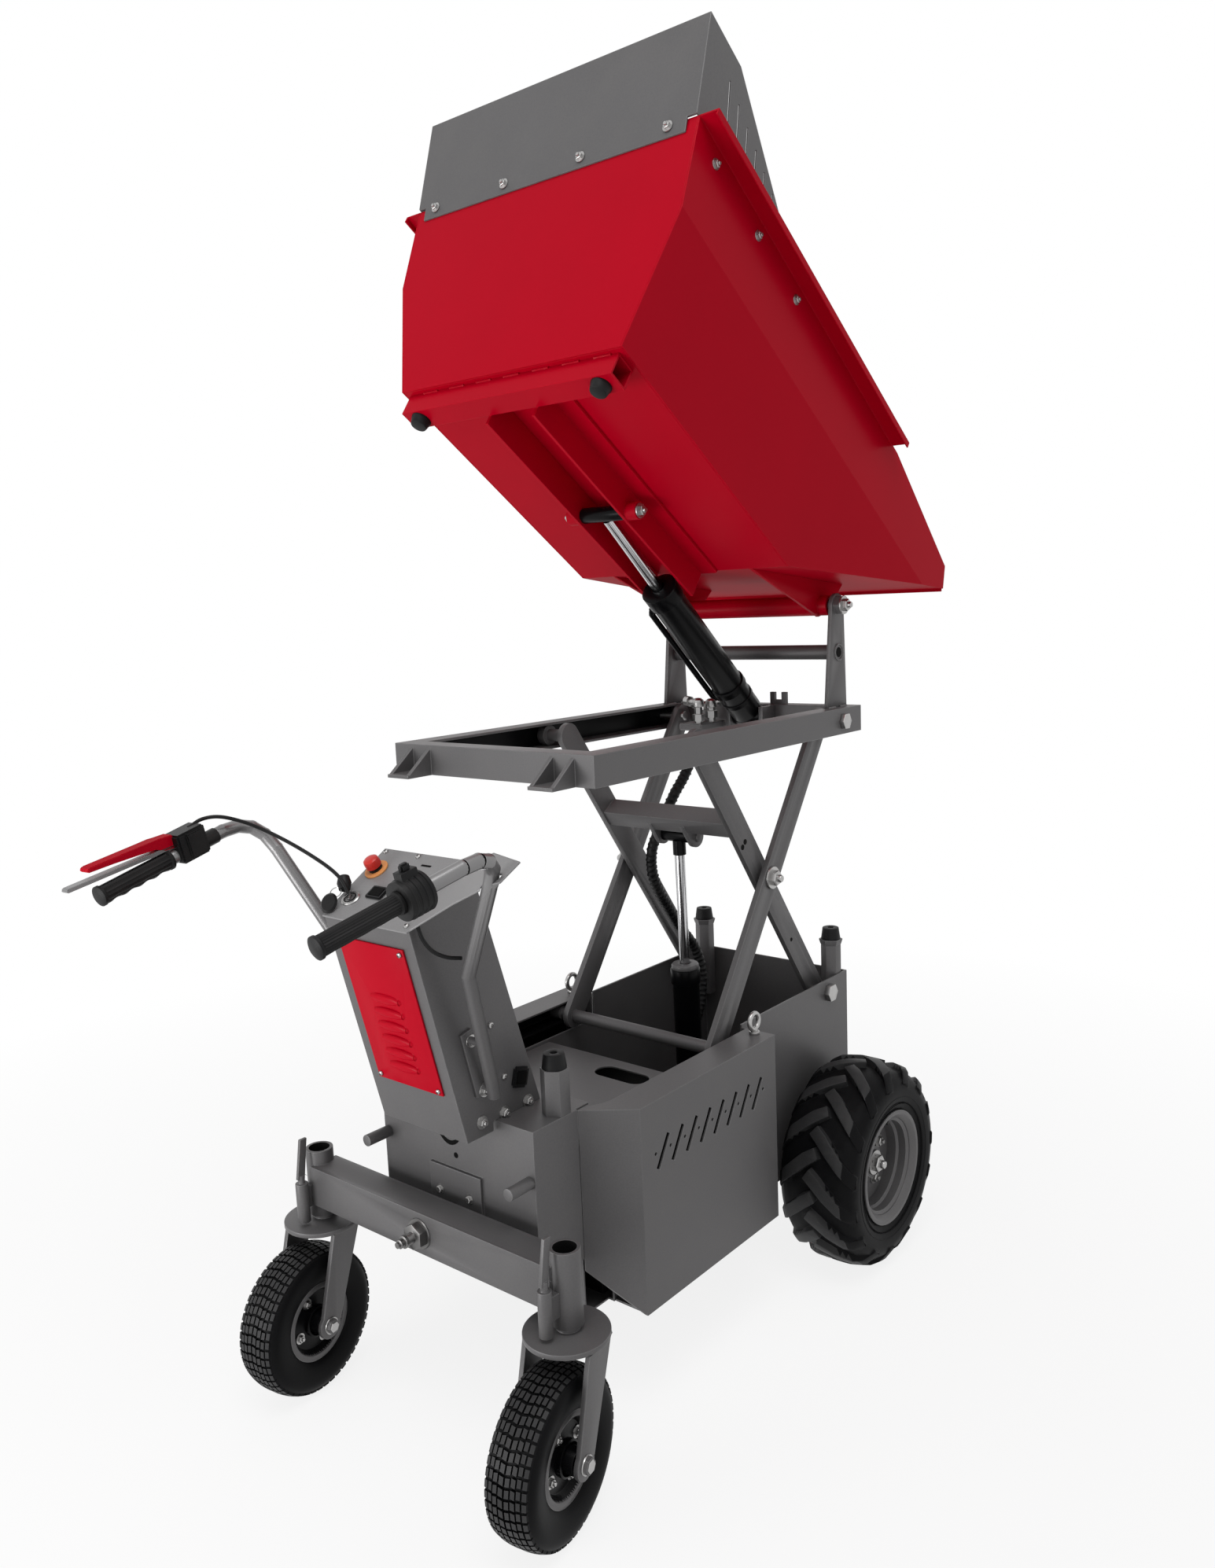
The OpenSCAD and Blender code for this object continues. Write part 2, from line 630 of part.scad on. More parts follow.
// Cylinders, each drawn along its own axis from the base pin

module barrel(r, l, bore) {
  difference() {
    union() {
      translate([0, 0, 20]) cylinder(h = l - 20, r = r);
      translate([0, 0, l - 34]) cylinder(h = 30, r = r + 3);
      rotate([90, 0, 0]) cylinder(h = 68, r = 21, center = true);
    }
    rotate([90, 0, 0]) cylinder(h = 80, r = 12.05, center = true);
    translate([0, 0, 60]) cylinder(h = l, r = bore);
  }
}
// Lift cylinder: radius of the barrel and of the rod
lift_r = 27;
lift_rod_r = 10;
module lift_barrel() place() color(black) ram(lift_bx, lift_bz, lift_a)
  barrel(lift_r, 385, lift_rod_r + 0.05);
module lift_rod() place() color(bright) ram(lift_bx, lift_bz, lift_a) {
  translate([0, 0, 370 - 80]) cylinder(h = lift_len - 290 - 12, r = lift_rod_r);
  translate([0, 0, lift_len]) rotate([90, 0, 0]) cylinder(h = 68, r = 15, center = true);
}
module tip_barrel() place() color(black) ram(tip_bx, tip_bz, tip_a) barrel(33, 410, 12.05);
// Hard pipe along the barrel, from its foot to its head
module tip_pipe() place() color(black) ram(tip_bx, tip_bz, tip_a) rotate([0, 0, 110])
  bent([[33.6, 0, 80], [46, 0, 80], [46, 0, 362], [33.6, 0, 362]], 4.5);
module tip_rod() place() color(bright) ram(tip_bx, tip_bz, tip_a) {
  translate([0, 0, 300]) cylinder(h = tip_len - 300 - 12, r = 12);
  translate([0, 0, tip_len]) rotate([90, 0, 0]) cylinder(h = 98, r = 14, center = true);
}

// Skip, drawn level about its hinge and tipped into place

function rear_at(z) = sk_r0 - sk_lean * (z - sk_z0);
fr_a = atan2(lip_z - sk_z0, lip_x - sk_f0);
module skip_inside() {
  k = (sk_w1 - sk_w0) / (sk_bend - sk_z0);
  a = sk_w0 - skip_t * 1.05;
  b = sk_w1 - skip_t;
  yz([[-a, sk_z0], [a, sk_z0], [b, sk_bend], [b, sk_z1], [-b, sk_z1], [-b, sk_bend]],
    -1100, 300);
}
module skip_panel(p) place() color(red) skip_frame() intersection() {
  skip_inside();
  xz(p, -400, 400);
}
module skip_floor() skip_panel([[sk_r0 + skip_t * 1.03, sk_z0], [sk_f0, sk_z0],
  [sk_f0 - skip_t * tan(fr_a / 2), sk_z0 + skip_t],
  [sk_r0 + skip_t * 1.03 - sk_lean * skip_t, sk_z0 + skip_t]]);
// The front plate ends in a narrow fold under the lip
module skip_front() skip_panel([[sk_f0, sk_z0],
  [lip_x - skip_t * cos(fr_a), lip_z - skip_t * sin(fr_a)],
  [lip_x - skip_t * cos(fr_a) + 6 * sin(fr_a), lip_z - skip_t * sin(fr_a) - 6 * cos(fr_a)],
  [lip_x + 6 * sin(fr_a), lip_z - 6 * cos(fr_a)],
  [lip_x - skip_t * sin(fr_a), lip_z + skip_t * cos(fr_a)],
  [sk_f0 - skip_t * tan(fr_a / 2), sk_z0 + skip_t]]);
module skip_rear() skip_panel([[sk_r0, sk_z0], [sk_r0 + skip_t * 1.03, sk_z0],
  [rear_at(sk_z1) + skip_t * 1.03, sk_z1], [rear_at(sk_z1), sk_z1]]);
module skip_side(s) place() color(red) skip_frame() side(s) {
  intersection() {
    yz([[-sk_w0, sk_z0], [-sk_w0 + skip_t * 1.05, sk_z0], [-sk_w1 + skip_t, sk_bend],
      [-sk_w1 + skip_t, sk_z1], [-sk_w1, sk_z1], [-sk_w1, sk_bend]], -1100, 300);
    xz([[sk_r0, sk_z0], [sk_f0, sk_z0], [lip_x, lip_z], [lip_x - 19, lip_z + 44],
      [sk_end, sk_z1], [rear_at(sk_z1), sk_z1]], -400, 400);
  }
  box(rear_at(sk_z1), sk_end - 24, -sk_w1 - 35, -sk_w1, sk_z1 - skip_t, sk_z1);
  box(rear_at(sk_z1), sk_end - 24, -sk_w1 - 35, -sk_w1 - 35 + skip_t, sk_z1 - 12, sk_z1 - skip_t);
}
module skip_side_right() skip_side(-1);
module skip_side_left() skip_side(1);

module skip_underframe() place() color(red) skip_frame() {
  both() {
    box(-766, sk_f0, 50, 56, sk_z0 - 57, sk_z0);
    box(-766, sk_f0, 56, 92, sk_z0 - 6, sk_z0);
    ycyl(16, 53, 80, tip_lx, tip_lz);
  }
  difference() {
    box(-806, -766, -sk_w0 + 12, sk_w0 - 12, sk_z0 - 40, sk_z0);
    box(-802, -770, -sk_w0, sk_w0, sk_z0 - 36, sk_z0 - 4);
  }
}

// Brackets from the floor and front plate to the hinge tube
module skip_hinge() place() color(red) skip_frame() difference() {
  union() {
    both() xz([[sk_f0, sk_z0], [sk_f0 + 300, sk_z0 + 300 * tan(fr_a)], [26, 0], [4, -24]],
      up_y - 37, up_y - 29);
    ycyl(20, -up_y + 9, up_y - 9, 0, 0);
  }
  ycyl(12.05, -up_y - 3, up_y + 3, 0, 0);
}

module skip_bumpers() place() color(black) skip_frame() both()
  translate([-786, sk_w0 - 44, sk_z0 - 55]) cylinder(h = 15, r1 = 14, r2 = 18);

function ext(z) = rear_at(sk_z1 - 23) - 0.34 * (z - sk_z1 + 23);
// Bolt-on extension: a rear plate, stepped in below the rim, and two slotted side plates
module skip_extension() place() color(steel) skip_frame() {
  z0 = sk_z1 - 23;
  z1 = sk_z1 + ext_h;
  w = sk_w1 - skip_t - 0.1;
  t = 3;
  xs = ext(z1) + 93;
  xe = xs + 312;
  intersection() {
    xz([[ext(z0) - t * 1.06, z0], [ext(z0), z0], [ext(z1), z1], [ext(z1) - t * 1.06, z1]], -w, w);
    yz([[-w + 18, z0], [w - 18, z0], [w - 18, sk_z1], [w, sk_z1], [w, z1], [-w, z1],
      [-w, sk_z1], [-w + 18, sk_z1]], -1200, -700);
  }
  both() difference() {
    xz([[ext(sk_z1 + 0.2), sk_z1 + 0.2], [ext(z1), z1], [xs, z1], [xe - 80, sk_z1 + 35],
      [xe, sk_z1 + 22], [xe, sk_z1 + 0.2]], w - t, w);
    for (i = [0 : 5]) translate([xs + 6 + 35 * i, w, z1 - 72 - 9.5 * i]) rotate([0, -26, 0])
      cube([3.5, 20, 66], center = true);
  }
}

chassis_floor();
chassis_rear();
chassis_front();
side_box_right();
side_box_left();
deck_cover();
roller_tracks();
stop_posts();
stop_rubbers();
rock_stops();
battery_block();
drive_axle();
eye_bolts();
lower_arm_pins();
lift_base();
pivot_bolt();
axle_beam();
swivel_locks();
caster_fork_right();
caster_fork_left();
caster_tyre_right();
caster_tyre_left();
caster_rim_right();
caster_rim_left();
drive_tyre_right();
drive_tyre_left();
drive_rim_right();
drive_rim_left();
console_shell();
console_panel();
dash_plate();
dash_controls();
handlebars();
grips();
throttle();
hand_levers();
inner_arms();
outer_arms();
arm_hoses();
upper_frame();
uprights();
cross_tube();
tip_base();
upper_arm_pins();
lift_barrel();
lift_rod();
tip_barrel();
tip_pipe();
tip_rod();
skip_floor();
skip_front();
skip_rear();
skip_side_right();
skip_side_left();
skip_underframe();
skip_hinge();
skip_bumpers();
skip_extension();
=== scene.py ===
# %% [markdown]
# # A walk-behind site dumper, dressed for its photograph
# The shapes that move and collide come from the CAD frame. This lesson adds what makes the
# machine look real: a camera that stands where the photographer stood, paint with a grain,
# rubber, chrome, bolts, hoses and treads, and a plain studio round it.

# %% Load the frame
import json
import math
import random
import bpy
import bmesh
from mathutils import Matrix, Vector


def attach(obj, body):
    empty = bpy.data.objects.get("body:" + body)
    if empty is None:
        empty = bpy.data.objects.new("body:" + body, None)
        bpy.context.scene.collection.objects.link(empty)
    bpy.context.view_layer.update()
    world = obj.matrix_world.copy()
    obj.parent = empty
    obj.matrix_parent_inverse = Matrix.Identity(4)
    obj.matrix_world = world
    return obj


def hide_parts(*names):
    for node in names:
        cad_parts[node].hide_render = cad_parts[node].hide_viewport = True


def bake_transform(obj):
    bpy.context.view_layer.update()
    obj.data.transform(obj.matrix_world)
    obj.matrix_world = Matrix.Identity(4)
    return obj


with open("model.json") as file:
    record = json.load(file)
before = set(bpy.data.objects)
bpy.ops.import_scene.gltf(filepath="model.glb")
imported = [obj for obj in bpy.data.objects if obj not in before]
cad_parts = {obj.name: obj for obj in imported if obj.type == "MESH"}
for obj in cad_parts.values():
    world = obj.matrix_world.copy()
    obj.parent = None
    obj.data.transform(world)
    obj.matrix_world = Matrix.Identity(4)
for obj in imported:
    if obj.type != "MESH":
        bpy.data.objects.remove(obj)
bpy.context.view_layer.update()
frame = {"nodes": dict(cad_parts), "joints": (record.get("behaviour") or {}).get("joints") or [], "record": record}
nodes = frame["nodes"]
joints = {j["name"]: j for j in frame["joints"]}
SHIFT = joints["drive_spin_right"]["pos_m"][0]
MM = 0.001
HANDS = ("right", "left")
RIGHT, LEFT, REAR, UP = (0, -1, 0), (0, 1, 0), (-1, 0, 0), (0, 0, 1)
SIDES = ((-1, RIGHT), (1, LEFT))
AXLE = Matrix.Translation((SHIFT, 0, 0))


def at(x, y, z):
    """A point in mm, measured from the drive axle and the ground, in the shared frame."""
    return Vector((x * MM + SHIFT, y * MM, z * MM))


def from_frame(p):
    """The mm from the drive axle and the ground of a point of the shared frame."""
    return Vector(((p.x - SHIFT) / MM, p.y / MM, p.z / MM))


def mm(x, y, z):
    """A vector given in mm."""
    return Vector((x * MM, y * MM, z * MM))


def shift(x, y, z):
    """A move given in mm."""
    return Matrix.Translation(mm(x, y, z))


def spin(angle, axis="Z"):
    return Matrix.Rotation(angle, 4, axis)


def polar(r, angle, h):
    """A vector r mm out from the Z axis at an angle, and h mm up it."""
    return Vector((r * MM * math.cos(angle), r * MM * math.sin(angle), h * MM))


print("frame:", len(nodes), "nodes, drive axle at x =", round(SHIFT, 4))

# %% [markdown]
# ## Step 1: stand where the photographer stood
# The camera was solved from points of known size in the photo: a 406 mm tyre, matching
# points on the left and right side, and the ground. Its place is given from the drive axle.
# A solved camera is better than one set by eye.

# %% Camera
scene = bpy.context.scene
PHOTO_W, FOCAL_PX, SENSOR = 1545, 1546.97, 36
YAW, PITCH, ROLL = math.radians(39.971), math.radians(-8.499), math.radians(-2.405)
EYE = Vector((-2.09714 + SHIFT, -1.42216, 1.34210))
ahead = Vector((math.cos(PITCH) * math.cos(YAW), math.cos(PITCH) * math.sin(YAW),
                math.sin(PITCH)))
side = Vector((math.sin(YAW), -math.cos(YAW), 0))
up = side.cross(ahead)
side, up = (side * math.cos(ROLL) + up * math.sin(ROLL),
            up * math.cos(ROLL) - side * math.sin(ROLL))
cam_data = bpy.data.cameras.new("photo_camera")
cam_data.sensor_fit = "HORIZONTAL"
cam_data.sensor_width = SENSOR
cam_data.lens = SENSOR * FOCAL_PX / PHOTO_W
cam = bpy.data.objects.new("photo_camera", cam_data)
turn = Matrix((side, up, -ahead)).transposed().to_4x4()
cam.matrix_world = Matrix.Translation(EYE) @ turn
scene.collection.objects.link(cam)
scene.camera = cam
print("camera at", [round(v, 3) for v in EYE], "lens", round(cam_data.lens, 2), "mm")

# %% [markdown]
# ## Step 2: effects that several finishes share
# Paint, rubber and metal are never one flat colour: paint has a fine fleck and a broad
# mottle, edges are painted lighter, partly where handling thins the coat and partly as a painted
# highlight, and dust settles on top. Each effect could be drawn again in every material, but a
# node group is built once, and each material places it with its own values.

# %% Shader node helpers
def add(tree, kind):
    """A new shader node."""
    return tree.nodes.new("ShaderNode" + kind)


def preset(node, *pairs):
    """Set a node's sockets by their labels."""
    for label, value in pairs:
        node.inputs[label].default_value = value


def feed(tree, socket, value):
    """Link an output to a socket, or set the socket to a value."""
    if hasattr(value, "is_output"):
        tree.links.new(value, socket)
    else:
        socket.default_value = value


def node_group(name, inputs, outputs):
    """A new shader group, with its inner input and output sockets."""
    tree = bpy.data.node_groups.new(name, "ShaderNodeTree")
    for label, kind, value in inputs:
        socket = tree.interface.new_socket(label, in_out="INPUT",
                                           socket_type="NodeSocket" + kind)
        socket.default_value = value
    for label, kind in outputs:
        tree.interface.new_socket(label, in_out="OUTPUT", socket_type="NodeSocket" + kind)
    entry, leave = tree.nodes.new("NodeGroupInput"), tree.nodes.new("NodeGroupOutput")
    return tree, entry.outputs, leave.inputs


print("shader node helpers are ready")

# %% Sums, noise and blends
def calc(tree, operation, a, b):
    node = add(tree, "Math")
    node.operation = operation
    feed(tree, node.inputs[0], a)
    feed(tree, node.inputs[1], b)
    return node.outputs[0]


def noise(tree, scale, detail, stretch=None):
    """Noise in the piece's own coordinates, so that it moves with the piece."""
    where = add(tree, "TexCoord").outputs["Object"]
    if stretch:
        mapping = add(tree, "Mapping")
        preset(mapping, ("Scale", stretch))
        tree.links.new(where, mapping.inputs["Vector"])
        where = mapping.outputs[0]
    node = add(tree, "TexNoise")
    preset(node, ("Detail", detail))
    tree.links.new(where, node.inputs["Vector"])
    feed(tree, node.inputs["Scale"], scale)
    return node.outputs[0]


def blend_colour(tree, amount, a, b):
    node = add(tree, "Mix")
    node.data_type = "RGBA"
    for k, value in ((0, amount), (6, a), (7, b)):
        feed(tree, node.inputs[k], value)
    return node.outputs[2]


def map_range(tree, value, low, high, to_low=0.0, to_high=1.0):
    """A value carried from low..high to to_low..to_high and held at both ends."""
    node = add(tree, "MapRange")
    preset(node, ("From Min", low), ("From Max", high), ("To Min", to_low), ("To Max", to_high))
    tree.links.new(value, node.inputs["Value"])
    return node.outputs[0]


def scale_colour(tree, colour, factor):
    """A colour made lighter or darker by a factor."""
    node = add(tree, "VectorMath")
    node.operation = "SCALE"
    tree.links.new(colour, node.inputs[0])
    tree.links.new(factor, node.inputs["Scale"])
    return node.outputs[0]


print("sums, noise and blends are ready")

# %% Grain of paint and rubber
grain, g_in, g_out = node_group("grain", [
    ("Colour", "Color", (0.5, 0.5, 0.5, 1)), ("Fleck", "Float", 0.1), ("Mottle", "Float", 0.1),
    ("Roughness", "Float", 0.5), ("Scale", "Float", 600.0)],
    [("Colour", "Color"), ("Roughness", "Float"), ("Height", "Float")])
fine = noise(grain, g_in["Scale"], 2)
broad = noise(grain, 5.0, 4)
fine_swing = calc(grain, "SUBTRACT", fine, 0.5)
broad_swing = calc(grain, "SUBTRACT", broad, 0.5)
shade = calc(grain, "ADD", calc(grain, "MULTIPLY", fine_swing, g_in["Fleck"]),
             calc(grain, "MULTIPLY", broad_swing, g_in["Mottle"]))
shaded = scale_colour(grain, g_in["Colour"], calc(grain, "ADD", shade, 1.0))
grain.links.new(shaded, g_out["Colour"])
uneven = calc(grain, "MULTIPLY", broad_swing, 0.25)
grain.links.new(calc(grain, "ADD", g_in["Roughness"], uneven), g_out["Roughness"])
grain.links.new(fine, g_out["Height"])
print("group:", grain.name)

# %% Rubbed edges and painted edge highlight
wear_and_highlight, w_in, w_out = node_group("edge_wear_and_highlight", [
    ("Colour", "Color", (0.5, 0.5, 0.5, 1)), ("Bare", "Color", (0.6, 0.6, 0.6, 1)),
    ("Amount", "Float", 0.5)], [("Colour", "Color"), ("Mask", "Float")])
# Edges turn to the lighter colour: partly paint rubbed through, partly a painted highlight on every edge, creases
# as well.
FLAT_DOT, SHARP_DOT, WORN_LIT_WIDTH = 0.99, 0.82, 0.0022
rounded = add(wear_and_highlight, "Bevel")
rounded.samples = 4
preset(rounded, ("Radius", WORN_LIT_WIDTH))
facing = add(wear_and_highlight, "VectorMath")
facing.operation = "DOT_PRODUCT"
wear_and_highlight.links.new(rounded.outputs[0], facing.inputs[0])
wear_and_highlight.links.new(add(wear_and_highlight, "NewGeometry").outputs["Normal"], facing.inputs[1])
sharp = map_range(wear_and_highlight, facing.outputs["Value"], FLAT_DOT, SHARP_DOT)
patchy = calc(wear_and_highlight, "MULTIPLY", sharp, noise(wear_and_highlight, 40.0, 3))
mask = calc(wear_and_highlight, "MULTIPLY", patchy, w_in["Amount"])
wear_and_highlight.links.new(blend_colour(wear_and_highlight, mask, w_in["Colour"], w_in["Bare"]), w_out["Colour"])
wear_and_highlight.links.new(mask, w_out["Mask"])
print("group:", wear_and_highlight.name)

# %% Dust
dust, d_in, d_out = node_group("dust_film", [
    ("Colour", "Color", (0.5, 0.5, 0.5, 1)), ("Dust", "Color", (0.35, 0.33, 0.3, 1)),
    ("Roughness", "Float", 0.5), ("Amount", "Float", 0.2), ("Scale", "Float", 14.0)],
    [("Colour", "Color"), ("Roughness", "Float")])
CLEAR, DUSTY = 0.45, 0.75
cloud = map_range(dust, noise(dust, d_in["Scale"], 6), CLEAR, DUSTY)
film = calc(dust, "MULTIPLY", cloud, d_in["Amount"])
dust.links.new(blend_colour(dust, film, d_in["Colour"], d_in["Dust"]), d_out["Colour"])
dust.links.new(calc(dust, "ADD", d_in["Roughness"], calc(dust, "MULTIPLY", film, 0.3)),
               d_out["Roughness"])
print("group:", dust.name)

# %% Brush marks of ground metal
brush, b_in, b_out = node_group("brush_marks", [
    ("Colour", "Color", (0.6, 0.6, 0.6, 1)), ("Roughness", "Float", 0.3),
    ("Streak", "Float", 0.2)], [("Colour", "Color"), ("Roughness", "Float")])
line = calc(brush, "SUBTRACT", noise(brush, 60.0, 3, (1.0, 1.0, 14.0)), 0.5)
swing = calc(brush, "MULTIPLY", line, b_in["Streak"])
toned = scale_colour(brush, b_in["Colour"], calc(brush, "ADD", swing, 1.0))
brush.links.new(toned, b_out["Colour"])
brush.links.new(calc(brush, "ADD", b_in["Roughness"], swing), b_out["Roughness"])
print("group:", brush.name)

# %% [markdown]
# ## Step 3: finishes
# The sheet steel wears a satin silver-grey coat with metal flake, the skip a glossier red,
# the hydraulics a gloss black. Rods are chromed, bolts are zinc plated, tyres are matte with
# dust in their pores. A flat colour would do from far off, but close up it looks like a toy,
# so a painted surface is a chain: grain, then rubbed edges with a painted highlight, then dust.

# %% Material helpers
def place(mat, tree, **values):
    """A shader group in a material, with its sockets set or linked."""
    node = add(mat.node_tree, "Group")
    node.node_tree = tree
    for label, value in values.items():
        value = (*value, 1) if isinstance(value, tuple) else value
        feed(mat.node_tree, node.inputs[label], value)
    return node.outputs


def blank(name):
    mat = bpy.data.materials.get(name) or bpy.data.materials.new(name)
    mat.use_nodes = True
    mat.node_tree.nodes.clear()
    shader = add(mat.node_tree, "BsdfPrincipled")
    out = add(mat.node_tree, "OutputMaterial")
    mat.node_tree.links.new(shader.outputs[0], out.inputs[0])
    return mat, shader


def bump(mat, shader, height, strength, depth):
    node = add(mat.node_tree, "Bump")
    preset(node, ("Strength", strength), ("Distance", depth))
    mat.node_tree.links.new(height, node.inputs["Height"])
    mat.node_tree.links.new(node.outputs[0], shader.inputs["Normal"])


print("material helpers are ready")

# %% Finish builders
COAT_ROUGH, PEEL_DEPTH = 0.3, 0.0006
FINISH = {}


def coated(name, colour, rough, metallic=0.0, coat=0.0, fleck=0.1, mottle=0.1, scale=600.0,
           bare_and_lit=None, worn_and_lit=0.0, dusty=0.1, dust_colour=(0.35, 0.33, 0.3), peel=0.08, shine=0.2):
    """Paint, rubber or plastic: grain, rubbed edges with a painted highlight, and a film of dust."""
    mat, shader = blank(name)
    links = mat.node_tree.links
    skin = place(mat, grain, Colour=colour, Fleck=fleck, Mottle=mottle, Roughness=rough,
                 Scale=scale)
    worn_lit_skin = place(mat, wear_and_highlight, Colour=skin["Colour"], Bare=bare_and_lit or colour, Amount=worn_and_lit)
    top = place(mat, dust, Colour=worn_lit_skin["Colour"], Dust=dust_colour,
                Roughness=skin["Roughness"], Amount=dusty)
    links.new(top["Colour"], shader.inputs["Base Color"])
    links.new(top["Roughness"], shader.inputs["Roughness"])
    preset(shader, ("Metallic", metallic), ("Specular IOR Level", shine), ("Coat Weight", coat),
           ("Coat Roughness", COAT_ROUGH))
    bump(mat, shader, skin["Height"], peel, PEEL_DEPTH)
    FINISH[name] = mat


def ground(name, colour, rough, streak):
    """Unpainted or plated metal with brush marks."""
    mat, shader = blank(name)
    marks = place(mat, brush, Colour=colour, Roughness=rough, Streak=streak)
    mat.node_tree.links.new(marks["Colour"], shader.inputs["Base Color"])
    mat.node_tree.links.new(marks["Roughness"], shader.inputs["Roughness"])
    preset(shader, ("Metallic", 1.0))
    FINISH[name] = mat


print("finish builders are ready")

# %% Finishes
def grey(value):
    return (value, value, value)


# On each finish the lighter edge colour and its amount stand for rubbed paint and a painted highlight together.
coated("steel_paint", (0.124, 0.121, 0.123), 0.44, metallic=0.3, fleck=0.25, mottle=0.25,
       scale=380.0, bare_and_lit=grey(0.42), worn_and_lit=0.8, dust_colour=(0.2, 0.19, 0.18), shine=0.25)
coated("red_paint", (0.46, 0.0005, 0.013), 0.42, fleck=0.08, mottle=0.14, bare_and_lit=(0.7, 0.03, 0.04),
       worn_and_lit=0.4, dusty=0.0, shine=0.0, coat=0.16)
coated("black_paint", (0.003, 0.003, 0.0035), 0.3, fleck=0.2, mottle=0.2, bare_and_lit=grey(0.08),
       worn_and_lit=0.3, dusty=0.0, shine=0.09)
coated("rubber", (0.004, 0.004, 0.0045), 0.5, fleck=0.4, mottle=0.2, scale=900.0, bare_and_lit=grey(0.04),
       worn_and_lit=0.5, dusty=0.02, peel=0.15)
coated("tyre", (0.0045, 0.0045, 0.005), 0.5, fleck=0.5, mottle=0.3, scale=500.0,
       bare_and_lit=(0.035, 0.035, 0.036), worn_and_lit=0.6, dusty=0.03, dust_colour=(0.05, 0.048, 0.046),
       peel=0.2, shine=0.07)
# Lug and tread block tops: lighter than the casing with dust and rubbing, and with a painted highlight.
coated("tyre_top_worn_lit", (0.026, 0.026, 0.027), 0.5, fleck=0.5, mottle=0.5, scale=500.0, bare_and_lit=grey(0.06),
       worn_and_lit=0.6, dusty=0.2, dust_colour=(0.07, 0.067, 0.064), peel=0.2)
coated("plastic", (0.006, 0.006, 0.0065), 0.42, fleck=0.2, scale=1200.0, bare_and_lit=grey(0.05),
       worn_and_lit=0.3, dusty=0.03, peel=0.1)
coated("bar_silver", (0.23, 0.227, 0.229), 0.3, metallic=0.6, fleck=0.04, bare_and_lit=grey(0.6),
       worn_and_lit=0.2, dusty=0.0, peel=0.01, shine=0.4)
# Painted light: a lighter copy of the grey paint for the sloping dash, which the lamps light less.
coated("dash_grey_lit", (0.25, 0.247, 0.25), 0.46, metallic=0.2, fleck=0.2, mottle=0.2, scale=380.0,
       bare_and_lit=grey(0.4), worn_and_lit=0.6, dust_colour=(0.25, 0.24, 0.23))
coated("stop_red", (0.6, 0.02, 0.012), 0.3, bare_and_lit=(0.8, 0.2, 0.15), worn_and_lit=0.4, dusty=0.02, shine=0.4)
coated("stop_yellow", (0.78, 0.33, 0.11), 0.5, mottle=0.25, bare_and_lit=(0.9, 0.4, 0.1), worn_and_lit=0.3,
       dusty=0.05)
coated("dark", grey(0.002), 0.8, fleck=0.2, mottle=0.2, dusty=0.02, shine=0.1)
ground("chrome", (0.55, 0.55, 0.56), 0.18, 0.12)
ground("zinc", (0.42, 0.415, 0.41), 0.34, 0.25)
ground("iron", (0.17, 0.167, 0.165), 0.38, 0.25)
print("finishes:", ", ".join(FINISH))

# %% Give each CAD node its slot's finish
for part in frame["record"]["subparts"]:
    node = nodes[part["node"]]
    node.data.materials.clear()
    node.data.materials.append(FINISH[part["material_slot"]])
print("painted", len(nodes), "nodes")


def repaint(node, finish, chosen):
    """Give a second finish to those faces of a CAD node that chosen picks."""
    mesh = nodes[node].data
    mesh.materials.append(FINISH[finish])
    for poly in mesh.polygons:
        if chosen(poly):
            poly.material_index = 1


# %% [markdown]
# ## Step 4: soften the edges of the sheet metal
# No folded or cut edge is a perfect line: it catches light along a narrow round. The CAD
# triangles are welded and merged into plain faces first, then a narrow bevel rounds each real
# edge, and a small node modifier keeps curved faces smooth. Modifiers leave the CAD mesh as it is.

# %% Edge rounding
def smooth_tree(degrees):
    """Faces that meet at less than an angle shade as one curved face."""
    tree = bpy.data.node_groups.new("smooth_under_%d" % degrees, "GeometryNodeTree")
    for way in ("INPUT", "OUTPUT"):
        tree.interface.new_socket("Geometry", in_out=way, socket_type="NodeSocketGeometry")
    normals = tree.nodes.new("GeometryNodeSetMeshNormal")
    normals.mode = "SHARPNESS"
    over = tree.nodes.new("FunctionNodeCompare")
    over.data_type = "FLOAT"
    over.operation = "GREATER_THAN"
    over.inputs[1].default_value = math.radians(degrees)
    angle = tree.nodes.new("GeometryNodeInputMeshEdgeAngle")
    tree.links.new(angle.outputs["Unsigned Angle"], over.inputs[0])
    tree.links.new(tree.nodes.new("NodeGroupInput").outputs[0], normals.inputs["Mesh"])
    tree.links.new(over.outputs[0], normals.inputs["Edge Sharpness"])
    tree.links.new(normals.outputs[0], tree.nodes.new("NodeGroupOutput").inputs[0])
    return tree


ROUND_DEG, FOLD_DEG, FLAT_DEG = 38, 12, 0.4
EDGE_MM, LUG_EDGE_MM = 0.9, 1.5
TURNED, FOLDED = smooth_tree(ROUND_DEG), smooth_tree(FOLD_DEG)
SHEET = ("chassis", "side_box", "deck", "console_shell", "dash_plate", "skip_floor", "skip_front",
         "skip_rear", "skip_side", "skip_extension", "skip_underframe", "upper_frame", "battery")


